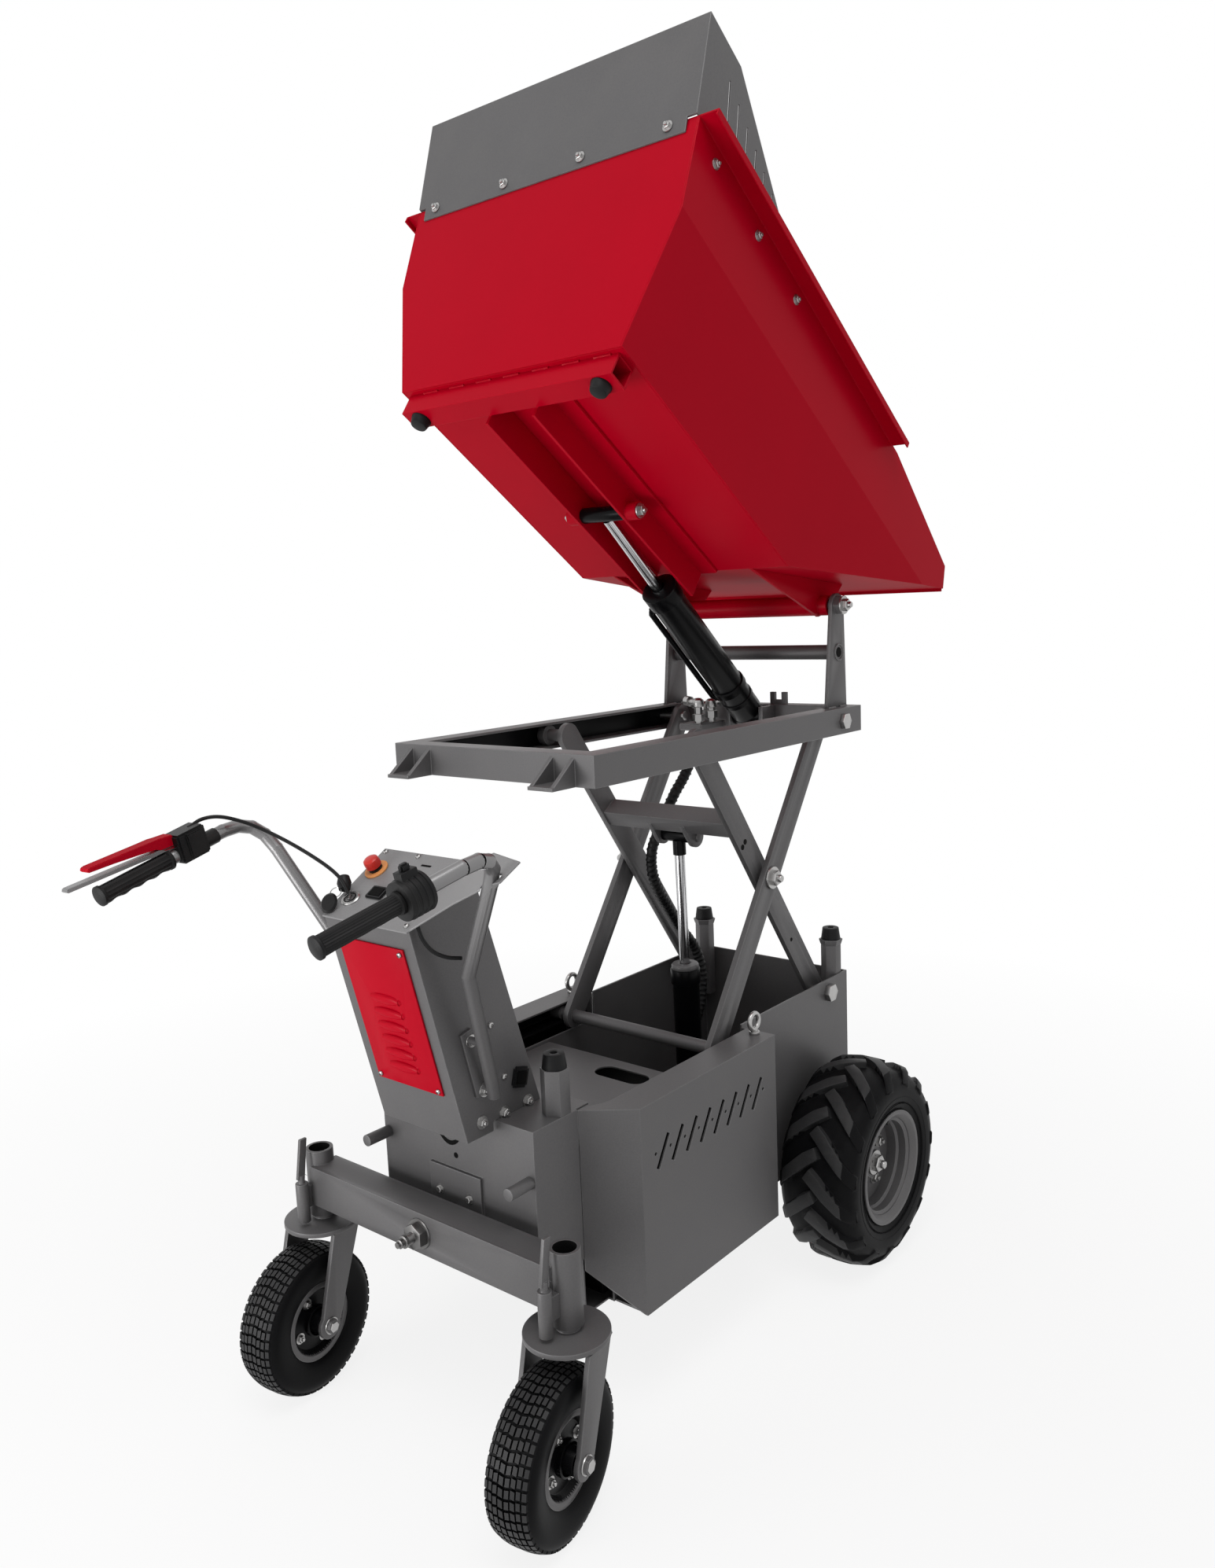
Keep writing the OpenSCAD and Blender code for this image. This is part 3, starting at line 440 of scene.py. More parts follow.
def round_edges(obj, width):
    """Weld the triangles, merge flat faces, round the edges and smooth the curves."""
    weld = obj.modifiers.new("weld", "WELD")
    weld.merge_threshold = 1e-5
    flat = obj.modifiers.new("flat", "DECIMATE")
    flat.decimate_type = "DISSOLVE"
    flat.angle_limit = math.radians(FLAT_DEG)
    flat.delimit = {"MATERIAL"}
    edge = obj.modifiers.new("edge", "BEVEL")
    edge.width = width * MM
    edge.segments = 2
    edge.limit_method = "ANGLE"
    edge.angle_limit = math.radians(ROUND_DEG)
    edge.use_clamp_overlap = False
    smooth = obj.modifiers.new("smooth", "NODES")
    smooth.node_group = FOLDED if obj.name.startswith(SHEET) else TURNED


for name, node in nodes.items():
    round_edges(node, LUG_EDGE_MM if name.startswith("drive_tyre") else EDGE_MM)
print("rounded the edges of", len(nodes), "nodes")

# %% [markdown]
# ## Step 5: a small workshop
# Bolts, fittings, grips and treads are turned parts, so one lathe makes them: a profile swept
# round an axis. Hoses and cables are tubes along a path, and a few blocks have rounded edges.
# These helpers add to a mesh under construction, and one call makes it a piece that rides.

# %% Lathe
def aim(point, direction, roll=0.0):
    """A frame at point whose Z runs along direction."""
    turn_to = Vector(direction).to_track_quat("Z", "Y").to_matrix().to_4x4()
    return Matrix.Translation(point) @ turn_to @ spin(roll)


def lathe(bm, where, profile, seg, finish=0):
    """Sweep (radius, height) pairs in mm round the Z of a frame."""
    rings = []
    for r, h in profile:
        count = seg if r > 1e-6 else 1
        rings.append([bm.verts.new(where @ polar(r, math.tau * i / seg, h))
                      for i in range(count)])
    for a, b in zip(rings, rings[1:]):
        for i in range(seg):
            j = (i + 1) % seg
            corners = [a[i % len(a)], a[j % len(a)], b[j % len(b)], b[i % len(b)]]
            corners = [v for k, v in enumerate(corners) if v not in corners[:k]]
            if len(corners) > 2:
                bm.faces.new(corners).material_index = finish


print("lathe is ready")

# %% Blocks and plates
def join_rings(bm, rings):
    """Faces between each ring of vertices and the next."""
    return [bm.faces.new((a[i], a[(i + 1) % len(a)], b[(i + 1) % len(b)], b[i]))
            for a, b in zip(rings, rings[1:]) for i in range(len(a))]


def soften(bm, edges, width, finish):
    """Round a set of edges by a width in mm."""
    bmesh.ops.bevel(bm, geom=list(edges), offset=width * MM, segments=2, affect="EDGES",
                    material=finish)


def slab(bm, where, low, high, soft, finish=0):
    """A block with rounded edges between two corners in mm."""
    size = [(b - a) * MM for a, b in zip(low, high)]
    mid = Vector([(a + b) * MM / 2 for a, b in zip(low, high)])
    fit = where @ Matrix.Translation(mid) @ Matrix.Diagonal((*size, 1))
    made = bmesh.ops.create_cube(bm, size=1, matrix=fit)["verts"]
    for face in {f for v in made for f in v.link_faces}:
        face.material_index = finish
    soften(bm, {e for v in made for e in v.link_edges}, soft, finish)


def plate(bm, where, outline, thick, finish=0, soft=0.0):
    """A flat plate cut to an outline in mm, with its thickness along Z."""
    low = [bm.verts.new(where @ mm(x, y, 0)) for x, y in outline]
    high = [bm.verts.new(where @ mm(x, y, thick)) for x, y in outline]
    faces = [bm.faces.new(low[::-1]), bm.faces.new(high)]
    faces += join_rings(bm, [low, high])
    for face in faces:
        face.material_index = finish
    if soft:
        soften(bm, {e for f in faces for e in f.edges}, soft, finish)


print("blocks and plates are ready")

# %% Bolts and screws
WASHER = [(0, 0), (1.45, 0), (1.5, 0.08), (1.45, 0.25), (0, 0.25)]
HEX_HEAD = [(0, 0.25), (1, 0.25), (1, 0.85), (0.86, 1), (0, 1)]
THREAD = [(0, 1), (0.5, 1), (0.5, 1.35), (0.42, 1.5), (0, 1.5)]
SCREW_HEAD = [(0, 0), (1, 0), (1, 0.25), (0.85, 0.6), (0.5, 0.8)]
HEX_SOCKET = [(0.5, 0.8), (0.5, 0.35), (0, 0.35)]
HEX = 6


def turned(bm, where, r, profile, seg, finish=0):
    """Sweep a profile that is given in radii."""
    lathe(bm, where, [(a * r, h * r) for a, h in profile], seg, finish)


def bolt(bm, where, r, nut=True):
    """A washer and a hexagon of across-corners radius r, with a threaded end if it is a nut."""
    turned(bm, where, r, WASHER, 24)
    turned(bm, where, r, HEX_HEAD, HEX)
    if nut:
        turned(bm, where, r, THREAD, 14)


def dome(bm, where, r, finish=0):
    """A round screw head with a hexagon socket."""
    turned(bm, where, r, SCREW_HEAD, 18, finish)
    turned(bm, where, r, HEX_SOCKET, HEX, finish)


print("bolts and screws are ready")

# %% Paths and tubes
def smooth_path(points, step):
    """A Catmull-Rom curve through points in mm, sampled about every step mm."""
    pts = [Vector(p) for p in points]
    pts = [2 * pts[0] - pts[1]] + pts + [2 * pts[-1] - pts[-2]]
    out = []
    for a, b, c, d in zip(pts, pts[1:], pts[2:], pts[3:]):
        count = max(2, round((c - b).length / step))
        for i in range(count):
            t = i / count
            out.append(0.5 * (2 * b + (c - a) * t + (2 * a - 5 * b + 4 * c - d) * t ** 2
                              + (3 * b - a - 3 * c + d) * t ** 3))
    return out + [pts[-2]]


def tube(bm, path, radius, seg):
    """A closed tube along path, in mm. radius is a number or a function of length and angle."""
    size = radius if callable(radius) else (lambda s, a: radius)
    normal = (path[1] - path[0]).orthogonal().normalized()
    rings, run = [], 0.0
    for i, p in enumerate(path):
        ahead_of = (path[min(i + 1, len(path) - 1)] - path[max(i - 1, 0)]).normalized()
        normal = (normal - ahead_of * normal.dot(ahead_of)).normalized()
        across = ahead_of.cross(normal)
        run += (p - path[i - 1]).length if i else 0
        rings.append([])
        for a in (math.tau * k / seg for k in range(seg)):
            out = normal * math.cos(a) + across * math.sin(a)
            rings[-1].append(bm.verts.new(at(*(p + size(run, a) * out))))
    bm.faces.new(rings[0][::-1])
    bm.faces.new(rings[-1])
    join_rings(bm, rings)
    return run


print("tubes are ready")

# %% From a mesh to a piece
CREASE_DEG = 36


def piece(name, bm, body, finishes, moves=True):
    """Turn a mesh under construction into a piece that rides on a body."""
    bmesh.ops.recalc_face_normals(bm, faces=bm.faces)
    mesh = bpy.data.meshes.new(name)
    bm.to_mesh(mesh)
    bm.free()
    for finish in finishes:
        mesh.materials.append(FINISH[finish])
    mesh.polygons.foreach_set("use_smooth", [True] * len(mesh.polygons))
    mesh.set_sharp_from_angle(angle=math.radians(CREASE_DEG))
    obj = bpy.data.objects.new(name, mesh)
    scene.collection.objects.link(obj)
    if moves:
        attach(obj, body)
    print("made", name, "with", len(mesh.polygons), "faces on", body)
    return obj


print("workshop is ready")

# %% [markdown]
# ## Step 6: control cables
# A thin black cable hangs from the lever clamp on the left bar to the dash, and a shorter one
# comes out under the throttle and runs into the right bar.

# %% Cables
LEFT_CABLE = [(-1094, 268, 1024), (-1067, 271, 1033), (-1040, 262, 1033), (-1008, 244, 1020),
              (-980, 222, 1001), (-962, 190, 982), (-953, 150, 964), (-951, 110, 948),
              (-954, 80, 934), (-955, 66, 917)]
RIGHT_CABLE = [(-967, -104, 893), (-960, -107, 868), (-947, -113, 848), (-928, -122, 836),
               (-910, -133, 832)]
CABLE_R = 3.0


def cable(name, points, r):
    """A cord of radius r that stays on the machine at both ends."""
    path = smooth_path(points, 5.0)
    bm = bmesh.new()
    length = tube(bm, path, r, 10)
    obj = piece(name, bm, "chassis", ["rubber"])
    print(name, "is", round(length), "mm long")


cable("lever_cable", LEFT_CABLE, CABLE_R)
cable("throttle_cable", RIGHT_CABLE, CABLE_R)

# %% [markdown]
# ## Step 7: hydraulic hoses
# Two hoses in a spiral wrap climb from the tub along the inner arm and on to the load frame.
# They are three lengths, each across one joint: tub to inner arm, inner arm to outer arm at the
# crossing, outer arm to load frame, laid where they stand and not carried by the scissor.

# %% Hoses
HOSE_R, RIB, RIB_PITCH = 10.5, 2.0, 11.0


def wrapped(r, rib, pitch):
    """Radius of a tube with a spiral rib."""
    return lambda s, a: r + rib * max(0.0, math.cos(math.tau * s / pitch - a)) ** 2


def hose(name, points, a, replaced=None):
    """A length of hose along points in mm, fixed where it is laid."""
    bm = bmesh.new()
    path = smooth_path(points, 3.0)
    length = tube(bm, path, wrapped(HOSE_R, RIB, RIB_PITCH), 14)
    obj = piece(name, bm, a, ["rubber"], moves=False)
    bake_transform(obj)
    if replaced:
        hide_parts(replaced)
    print(name, "is", round(length), "mm long")


HOSE_LOW = [(-40, 84, 420), (-8, 88, 470), (12, 98, 530), (8, 110, 580), (-22, 117, 622),
            (-45, 118, 650)]
HOSE_MID = [(-45, 118, 650), (-76, 119, 694), (-104, 119, 733), (-122, 119, 770), (-128, 118, 801)]
HOSE_TOP = [(-128, 118, 801), (-126, 114, 832), (-112, 106, 868), (-94, 98, 905), (-78, 88, 940),
            (-50, 82, 974), (-26, 77, 1014), (-10, 73, 1050), (-6, 72, 1070)]
hose("hose_low", HOSE_LOW, "chassis")
hose("hose_mid", HOSE_MID, "inner_scissor",
     "arm_hoses")
hose("hose_top", HOSE_TOP, "outer_scissor")

# %% [markdown]
# ## Step 8: tyres of the swivel wheels
# The small swivel tyres have a closed road tread: eight rows of short blocks with zigzag gaps.
# The CAD tyre is the plain casing, and this piece replaces it with a casing that is a little
# smaller and the blocks that bring it back to size. The blocks could be a bump in the material,
# but then the outline of the tyre would stay round.

# %% Swivel tyres
def wheel_frame(joint):
    """Centre of a wheel, with Z along its axle, outward."""
    hub, axis = Vector(joints[joint]["pos_m"]), Vector(joints[joint]["axis"])
    return aim(hub, axis if axis.y * hub.y >= 0 else -axis)


BLOCKS = 50
OUTER_ROWS = [(1.0, 9.2, 0.2, -0.0016), (10.6, 18.4, 0.1, 0.0016), (19.6, 26.6, 0.0, 0.0),
              (28.0, 35.0, 0.06, 0.0)]
ROWS = [(-h1, -h0, lag, -slant) for h0, h1, lag, slant in OUTER_ROWS[::-1]] + OUTER_ROWS
TREAD_R, TREAD_DEPTH = 126.0, 7.0
BLOCK_SHARE, BLOCK_INSET, BLOCK_TURN = 0.76, 0.6, 0.005


def crown(h):
    """Radius of the tread's outer face at a distance h from the middle."""
    return TREAD_R - 0.0075 * max(0.0, abs(h) - 8) ** 2


def block(bm, where, a0, a1, h0, h1, slant):
    """A tread block between two angles and two heights, a little smaller at its top."""
    verts = []
    for deep, ins in ((TREAD_DEPTH, 0.0), (0.0, BLOCK_INSET)):
        for a, h in ((a0, h0 + ins), (a1, h0 + ins), (a1, h1 - ins), (a0, h1 - ins)):
            draft = (BLOCK_TURN if a == a0 else -BLOCK_TURN) * ins
            angle = a + (h - (h0 + h1) / 2) * slant + draft
            verts.append(bm.verts.new(where @ polar(crown(h) - deep, angle, h)))
    for k in ((0, 1, 5, 4), (1, 2, 6, 5), (2, 3, 7, 6), (3, 0, 4, 7), (4, 5, 6, 7)):
        # A block's top face takes the lighter lug-top finish: dust plus a painted highlight.
        bm.faces.new([verts[i] for i in k]).material_index = 1 if k[0] == 4 else 0


def swivel_tyre(hand):
    where = wheel_frame("caster_spin_" + hand)
    bm = bmesh.new()
    half = [(64.3, 26), (70, 33), (78, 37), (88, 39.6), (98, 41), (104, 41), (110, 39.6),
            (115, 36.5), (119, 32), (120.5, 26)]
    casing = [(r, -h) for r, h in half] + [(121.2, 0)] + half[::-1]
    lathe(bm, where, casing + casing[:1], 72)
    pitch = math.tau / BLOCKS
    for h0, h1, lag, slant in ROWS:
        for i in range(BLOCKS):
            a = (i + lag) * pitch
            block(bm, where, a, a + pitch * BLOCK_SHARE, h0, h1, slant)
    obj = piece("swivel_tyre_" + hand, bm, "caster_wheel_" + hand, ["tyre", "tyre_top_worn_lit"])
    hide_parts("caster_tyre_" + hand)


for hand in HANDS:
    swivel_tyre(hand)

# %% [markdown]
# ## Step 9: wheel bolts, hubs and valves
# A drive rim is held by four bolts on the dish round a hub with a big axle nut, and a short
# rubber valve stands in the well. The swivel wheels turn on a bolt with a nut at each end.
# Lug tops, lighter with dust and rubbing and with a painted highlight, and black rim discs are
# faces of the CAD wheels, picked by their distance from the axle and given a second finish,
# because a skin laid over them would flicker.

# %% Wheel fittings
VALVE = [(0, 0), (6, 0), (6, 5), (4, 8), (4, 26), (4.6, 26), (4.6, 36), (3.6, 38), (0, 38)]
BOTH_FACES = (Matrix.Identity(4), spin(math.pi, "X"))


def ring_points(where, r, count, start):
    """Frames spaced round a circle of radius r."""
    for i in range(count):
        yield where @ Matrix.Translation(polar(r, start + math.tau * i / count, 0))


def drive_fittings(hand):
    where = wheel_frame("drive_spin_" + hand)
    bm = bmesh.new()
    for spot in ring_points(where @ shift(0, 0, 20), 52, 4, 0.5):
        bolt(bm, spot, 9.5)
    bolt(bm, where @ shift(0, 0, 34), 17)
    lathe(bm, where @ spin(1.35) @ shift(84, 0, 20), VALVE, 14, 1)
    for r in (150, 141, 128):
        lathe(bm, where, [(r - 1.2, 78.6), (r, 80.4 if r > 130 else 77), (r + 1.2, 78.6)], 72, 2)
    lathe(bm, where, [(95.9, 64), (90, 60), (90, 44), (86, 40), (86, 20.2)], 64, 3)
    piece("drive_fittings_" + hand, bm, "drive_wheel_" + hand,
          ["zinc", "rubber", "tyre", "steel_paint"])


def swivel_fittings(hand):
    where = wheel_frame("caster_spin_" + hand)
    bm = bmesh.new()
    for flip in BOTH_FACES:
        face = where @ flip
        for spot in ring_points(face @ shift(0, 0, 19), 40, 4, 0.4):
            bolt(bm, spot, 6.5)
        lathe(bm, face, [(24, 21), (27, 22), (27, 30), (24, 31)], 28, 1)
    piece("swivel_fittings_" + hand, bm, "caster_wheel_" + hand, ["zinc", "black_paint"])
    bm = bmesh.new()
    for flip in BOTH_FACES:
        bolt(bm, where @ flip @ shift(0, 0, 58), 10, nut=False)
    piece("swivel_nuts_" + hand, bm, "caster_fork_" + hand, ["zinc"])


for hand in HANDS:
    drive_fittings(hand)
    swivel_fittings(hand)

# %% Lug tops and rim discs
LUG_TOP, RIM_DISC = 0.194, 0.057


def from_axle(joint, poly):
    """Distance of a face's middle from its wheel's axle."""
    c = wheel_frame(joint).inverted() @ poly.center
    return math.hypot(c.x, c.y)


# Lug tops get the lighter finish: dust and rubbing plus a painted highlight.
for hand in HANDS:
    repaint("drive_tyre_" + hand, "tyre_top_worn_lit",
            lambda poly: from_axle("drive_spin_" + hand, poly) > LUG_TOP)
    repaint("caster_rim_" + hand, "black_paint",
            lambda poly: from_axle("caster_spin_" + hand, poly) <= RIM_DISC)
print("lug tops and rim discs painted")

# %% [markdown]
# ## Step 10: dash, switches and grips
# The dash has a red mushroom stop button on a yellow disc, a key switch with its key, a small
# gauge and screws. Mushroom and switch are turned, so the lathe makes them with softer edges
# than the plain CAD cylinders they replace. The grips get finger grooves and a ribbed twist.

# %% Stop button
DASH = Matrix.Translation(at(-978, 0, 882)) @ spin(math.radians(-31.4), "Y")
TOP, CON_W = 3.0, 98.0


def on_dash(u, v, h=TOP):
    """A frame on the sloping dash, u mm up the slope and v mm to the left."""
    return DASH @ shift(u, v, h)


bm = bmesh.new()
stop = on_dash(104, 72)
lathe(bm, stop, [(0, 0), (19.5, 0), (20, 0.6), (20, 2.4), (19.4, 3), (0, 3)], 40, 1)
lathe(bm, stop, [(0, 3), (11.5, 3), (11.5, 6), (10, 7), (10, 10), (0, 10)], 28, 2)
lathe(bm, stop, [(0, 8), (11, 8), (12.8, 9.5), (13.2, 12), (13, 19), (12, 22.5), (9, 24.6),
                 (5, 25.4), (0, 25.4)], 36)
stop_button = piece("stop_button", bm, "chassis", ["stop_red", "stop_yellow", "plastic"])
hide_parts("dash_controls")

# %% Key switch with its key, fob and ring
bm = bmesh.new()
key = on_dash(38, 70)
lathe(bm, key @ Matrix.Diagonal((1, 1.15, 1, 1)),
      [(0, 0), (15, 0), (15, 1.5), (13.5, 3), (10.5, 3), (10, 2)], 32, 1)
lathe(bm, key, [(9.5, 2), (10.2, 3.4), (8.6, 3.4), (8.6, 2)], 28)
lathe(bm, key, [(0, 2.6), (8.8, 2.6)], 28, 1)
slab(bm, key @ spin(0.6), (-5.5, -1.8, 4), (5.5, 1.8, 6), 0.6, 1)
knob = aim(DASH @ mm(54, 91, 18), (0.3, 0.4, 0.6))
lathe(bm, knob, [(0, -13), (9, -11), (11.5, 0), (9, 11), (0, 13)], 20)
fob = aim(DASH @ mm(14, 91, 13), (-0.75, -0.35, 0.55))
lathe(bm, fob @ Matrix.Diagonal((1.0, 1.2, 1, 1)),
      [(0, -4), (11, -3.5), (14, 0), (11, 3.5), (0, 4)], 24)
ring = aim(DASH @ mm(34, 92, 17), (-0.6, -0.3, 0.7))
lathe(bm, ring, [(8, 0), (9, 1), (10, 0), (9, -1), (8, 0)], 24, 1)
key_switch = piece("key_switch", bm, "chassis", ["plastic", "zinc"])
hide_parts("dash_controls")

# %% Gauge
bm = bmesh.new()
gauge = on_dash(58, 25)
slab(bm, gauge, (-13, -18, -0.5), (13, 18, 4), 1.8)
slab(bm, gauge, (-9, -13, 3), (9, 13, 5), 0.8, 1)
slab(bm, on_dash(128, -22), (-2, -11, -0.5), (2, 11, 0.4), 0.3, 1)
piece("dash_gauge", bm, "chassis", ["plastic", "dark"])

# %% Dash screws
bm = bmesh.new()
for u, v in ((8, 88), (8, -88), (144, 88), (144, 10)):
    dome(bm, on_dash(u, v), 4.5)
WING = on_dash(0, -CON_W, 0) @ spin(math.radians(-21.6), "X")
for u, v in ((114, -26), (136, -12)):
    dome(bm, WING @ shift(u, v, TOP), 4.5)
piece("dash_screws", bm, "chassis", ["zinc"])

# %% Grips
BAR_END = Vector((-1251.7, -253.8, 951.6))
BAR_DIR = BAR_END - Vector((-966.5, -281.0, 1023.0))
GRIP_P = math.acos(BAR_DIR.z / BAR_DIR.length)
GRIP_T = math.atan2(BAR_DIR.y, BAR_DIR.x)
GRIP_R = Matrix.Translation(at(*BAR_END)) @ spin(GRIP_T) @ spin(GRIP_P, "Y")
GRIP_L = Matrix.Diagonal((1, -1, 1, 1)) @ GRIP_R
GRIP_LOW, GRIP_LONG, GRIP_MEAN, FINGER = -124, 126, 13.4, 27


def grip(name, where, ribs, waves):
    """A rubber grip with ribs along it, finger waves and a flange at each end."""
    bm = bmesh.new()
    seg, rows = 48, 62
    rings = []
    for k in range(rows + 1):
        h = GRIP_LOW + GRIP_LONG * k / rows
        flange = 16.0 if h < -119 else (15.8 if h > -4 else 0)
        wave = waves * math.cos(math.tau * (h + 62) / FINGER)
        ring = []
        for a in (math.tau * i / seg for i in range(seg)):
            r = GRIP_MEAN + 0.5 * math.cos(ribs * a) + wave * max(0.0, math.cos(a))
            ring.append(bm.verts.new(where @ polar(max(r, flange), a, h)))
        rings.append(ring)
    join_rings(bm, rings)
    lathe(bm, where, [(15.6, 2), (12, 4), (0, 4.4)], seg)
    lathe(bm, where, [(11.05, -124), (16, -124)], seg)
    bmesh.ops.remove_doubles(bm, verts=bm.verts, dist=2e-5)
    obj = piece(name, bm, "chassis", ["rubber"])
    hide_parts("grips")


grip("grip_right", GRIP_R, 24, 0.2)
grip("grip_left", GRIP_L, 16, 1.1)

# %% Throttle
QUARTER = spin(math.pi / 2, "X")
bm = bmesh.new()
for h in (-161, -152, -143, -134):
    lathe(bm, GRIP_R, [(27, h - 2.6), (28.2, h - 1.6), (28.2, h + 1.6), (27, h + 2.6)], 36)
for h in (-156, -139):
    dome(bm, GRIP_R @ shift(0, -27, h) @ QUARTER, 4.0, 1)
slab(bm, GRIP_R, (-45, -5, -152), (-34, 5, -138), 2.5)
piece("throttle_rings", bm, "chassis", ["rubber", "zinc"])

# %% Lever clamp
LONG_LEVER = [(-13, -140), (-35, -140), (-39, -110), (-47, 2), (-45, 7), (-40, 7), (-27, -106),
              (-15, -120)]
THIN_LEVER = [(-14, -138), (-20, -138), (-22, -100), (-33, 43), (-31, 46), (-27, 46), (-16, -100)]
bm = bmesh.new()
slab(bm, GRIP_L, (-34, -19, -188), (13, 18, -136), 3.0)
slab(bm, GRIP_L, (-30, -23, -180), (8, -17, -150), 2.0)
for h in (-178, -146):
    for x in (-24, 4):
        dome(bm, GRIP_L @ shift(x, 18, h) @ spin(-math.pi / 2, "X"), 4.0, 1)
lathe(bm, GRIP_L, [(11.1, -189), (12.6, -190), (12.6, -214), (11.1, -215)], 24)
plate(bm, GRIP_L @ shift(0, 18, 0) @ QUARTER, LONG_LEVER, 22, 2, 1.5)
plate(bm, GRIP_L @ shift(0, 12, 0) @ QUARTER, THIN_LEVER, 16, 3, 1.2)
clamp = piece("lever_clamp", bm, "chassis", ["plastic", "zinc", "red_paint", "bar_silver"])
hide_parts("hand_levers")

# %% Paint of the bars and the dash
STRIP_TOP = at(0, 0, 905).z
nodes["handlebars"].data.materials[0] = FINISH["bar_silver"]
repaint("handlebars", "steel_paint", lambda poly: poly.center.z < STRIP_TOP)
# The dash takes the lighter grey: painted light making up for the little lamp light it gets.
nodes["dash_plate"].data.materials[0] = FINISH["dash_grey_lit"]
print("bars and dash painted")

# %% [markdown]
# ## Step 11: screws and small parts of the console and chassis
# Zinc bolts hold the console to the tub and the handlebar strips to the console. They are hex
# heads on washers, because that is what a workshop would reach for, and all of one kind share
# a mesh. The panel's louvres are pressed domes, squeezed from one turned shape. The charging
# socket is a thin piece with a dark face, and the openings are thin dark pieces of painted
# shade, because a hole only has to read as dark.

# %% Console bolts
bm = bmesh.new()
for sign, n in SIDES:
    for x, z in ((-857, 548), (-807, 546), (-753, 547)):
        bolt(bm, aim(at(x, sign * CON_W, z), n, 0.3), 7.5)
    for x, z in ((-874, 687), (-853, 600)):
        bolt(bm, aim(at(x, sign * (CON_W + 5), z), n, 0.1), 7.0)
    for x, z in ((-827, 697), (-804, 605)):
        dome(bm, aim(at(x, sign * CON_W, z), n), 5.5)
PANEL_N = (-0.970, 0, -0.241)
for y in (-67, 67):
    dome(bm, aim(at(-972.5, y, 842), PANEL_N), 4.2)
    dome(bm, aim(at(-914.5, y, 611), PANEL_N), 4.2)
for y, z in ((37, 389), (-32, 390)):
    bolt(bm, aim(at(-833, y, z), REAR), 5.5, nut=False)
piece("console_bolts", bm, "chassis", ["zinc"])

# %% Louvres
LOUVRES, LOUVRE_Z, LOUVRE_STEP = 6, 638, 23.7
PANEL_FOOT, PANEL_FOOT_Z, PANEL_LEAN, PANEL_THICK = -889, 524, 89 / 358, 3.0
outward, left = Vector(PANEL_N).normalized(), Vector(LEFT)
across_panel = Matrix((left, outward.cross(left), outward)).transposed().to_4x4()
bm = bmesh.new()
for i in range(LOUVRES):
    z = LOUVRE_Z + i * LOUVRE_STEP
    x = PANEL_FOOT - PANEL_LEAN * (z - PANEL_FOOT_Z) - PANEL_THICK
    spot = Matrix.Translation(at(x, 0, z)) @ across_panel
    lathe(bm, spot @ Matrix.Diagonal((1, 0.24, 1, 1)),
          [(37, 0), (35, 2.0), (30, 4), (20, 5.4), (0, 6)], 36)
piece("louvres", bm, "chassis", ["red_paint"])

# %% Collars of the front stop posts
posts = [v.co for v in nodes["stop_posts"].data.vertices]
bm = bmesh.new()
for sign in (-1, 1):
    group = [c for c in posts if c.x > SHIFT - 0.3 and c.y * sign > 0]
    top = max(c.z for c in group)
    rim = [c for c in group if c.z > top - 0.001]
    middle = Vector((sum(c.x for c in rim), sum(c.y for c in rim), 0)) / len(rim)
    reach = max((Vector((c.x, c.y, 0)) - middle).length for c in rim) / MM
    foot = Matrix.Translation((middle.x, middle.y, top))
    collar = [(-1, -12), (0.6, -11), (3.5, -2), (3.5, 0.5), (-4, 0.5)]
    lathe(bm, foot, [(reach + r, h) for r, h in collar], HEX)
    print("post collar", sign, "reach", round(reach, 1))
piece("post_collars", bm, "chassis", ["steel_paint"])

# %% Charging socket
bm = bmesh.new()
socket = aim(at(-769, -CON_W, 593), RIGHT) @ spin(-0.28)
slab(bm, socket, (-17, -17, -0.5), (17, 17, 5), 4.0)
slab(bm, socket, (-11, -11, 4), (11, 11, 6.5), 2.0, 1)
piece("charge_socket", bm, "chassis", ["plastic", "dark"])

# %% Painted shade in the openings of the rear wall and the vents
bm = bmesh.new()
WALL_X, SWEEP, STEPS = -827, 0.95, 12
facing_rear = Matrix(((0, 0, -1), (-1, 0, 0), (0, 1, 0))).to_4x4()
wall = Matrix.Translation(at(WALL_X, 0, 0)) @ facing_rear
turns = [-SWEEP + 2 * SWEEP * i / STEPS for i in range(STEPS + 1)]
# A dark arc in the cable cut-out and a small dark disc: painted shade in the openings of the rear wall.
arc = [(-13 + 40 * math.sin(a), 540 - 70 * math.cos(a)) for a in turns]
arc += [(-13 + 37 * math.sin(a), 540 - 62 * math.cos(a)) for a in turns[::-1]]
plate(bm, wall, arc, 0.4)
lathe(bm, wall @ shift(0, 455, 0), [(0, 0.4), (5, 0.4), (5, 0)], 18)
# Dark plates behind the vent slots: painted shade inside the side boxes.
for y in (-250, 246):
    slab(bm, AXLE, (-640, y, 300), (-275, y + 4, 520), 1.0)
piece("cable_hole_shade", bm, "chassis", ["dark"])

# %% Pivot nut
bm = bmesh.new()
pivot = aim(at(-915, 0, 357), REAR)
lathe(bm, pivot, [(14.1, 0), (24.5, 0), (25.5, 1), (24.5, 3), (14.1, 3)], 36)
end = [(9, 0), (10.5, 1), (10.5, 6), (7.5, 7), (7.5, 14), (5, 15), (5, 19), (0, 19)]
lathe(bm, pivot @ shift(0, 0, 28), end, 20)
piece("pivot_washer", bm, "chassis", ["iron"])
nodes["pivot_bolt"].data.materials[0] = FINISH["iron"]

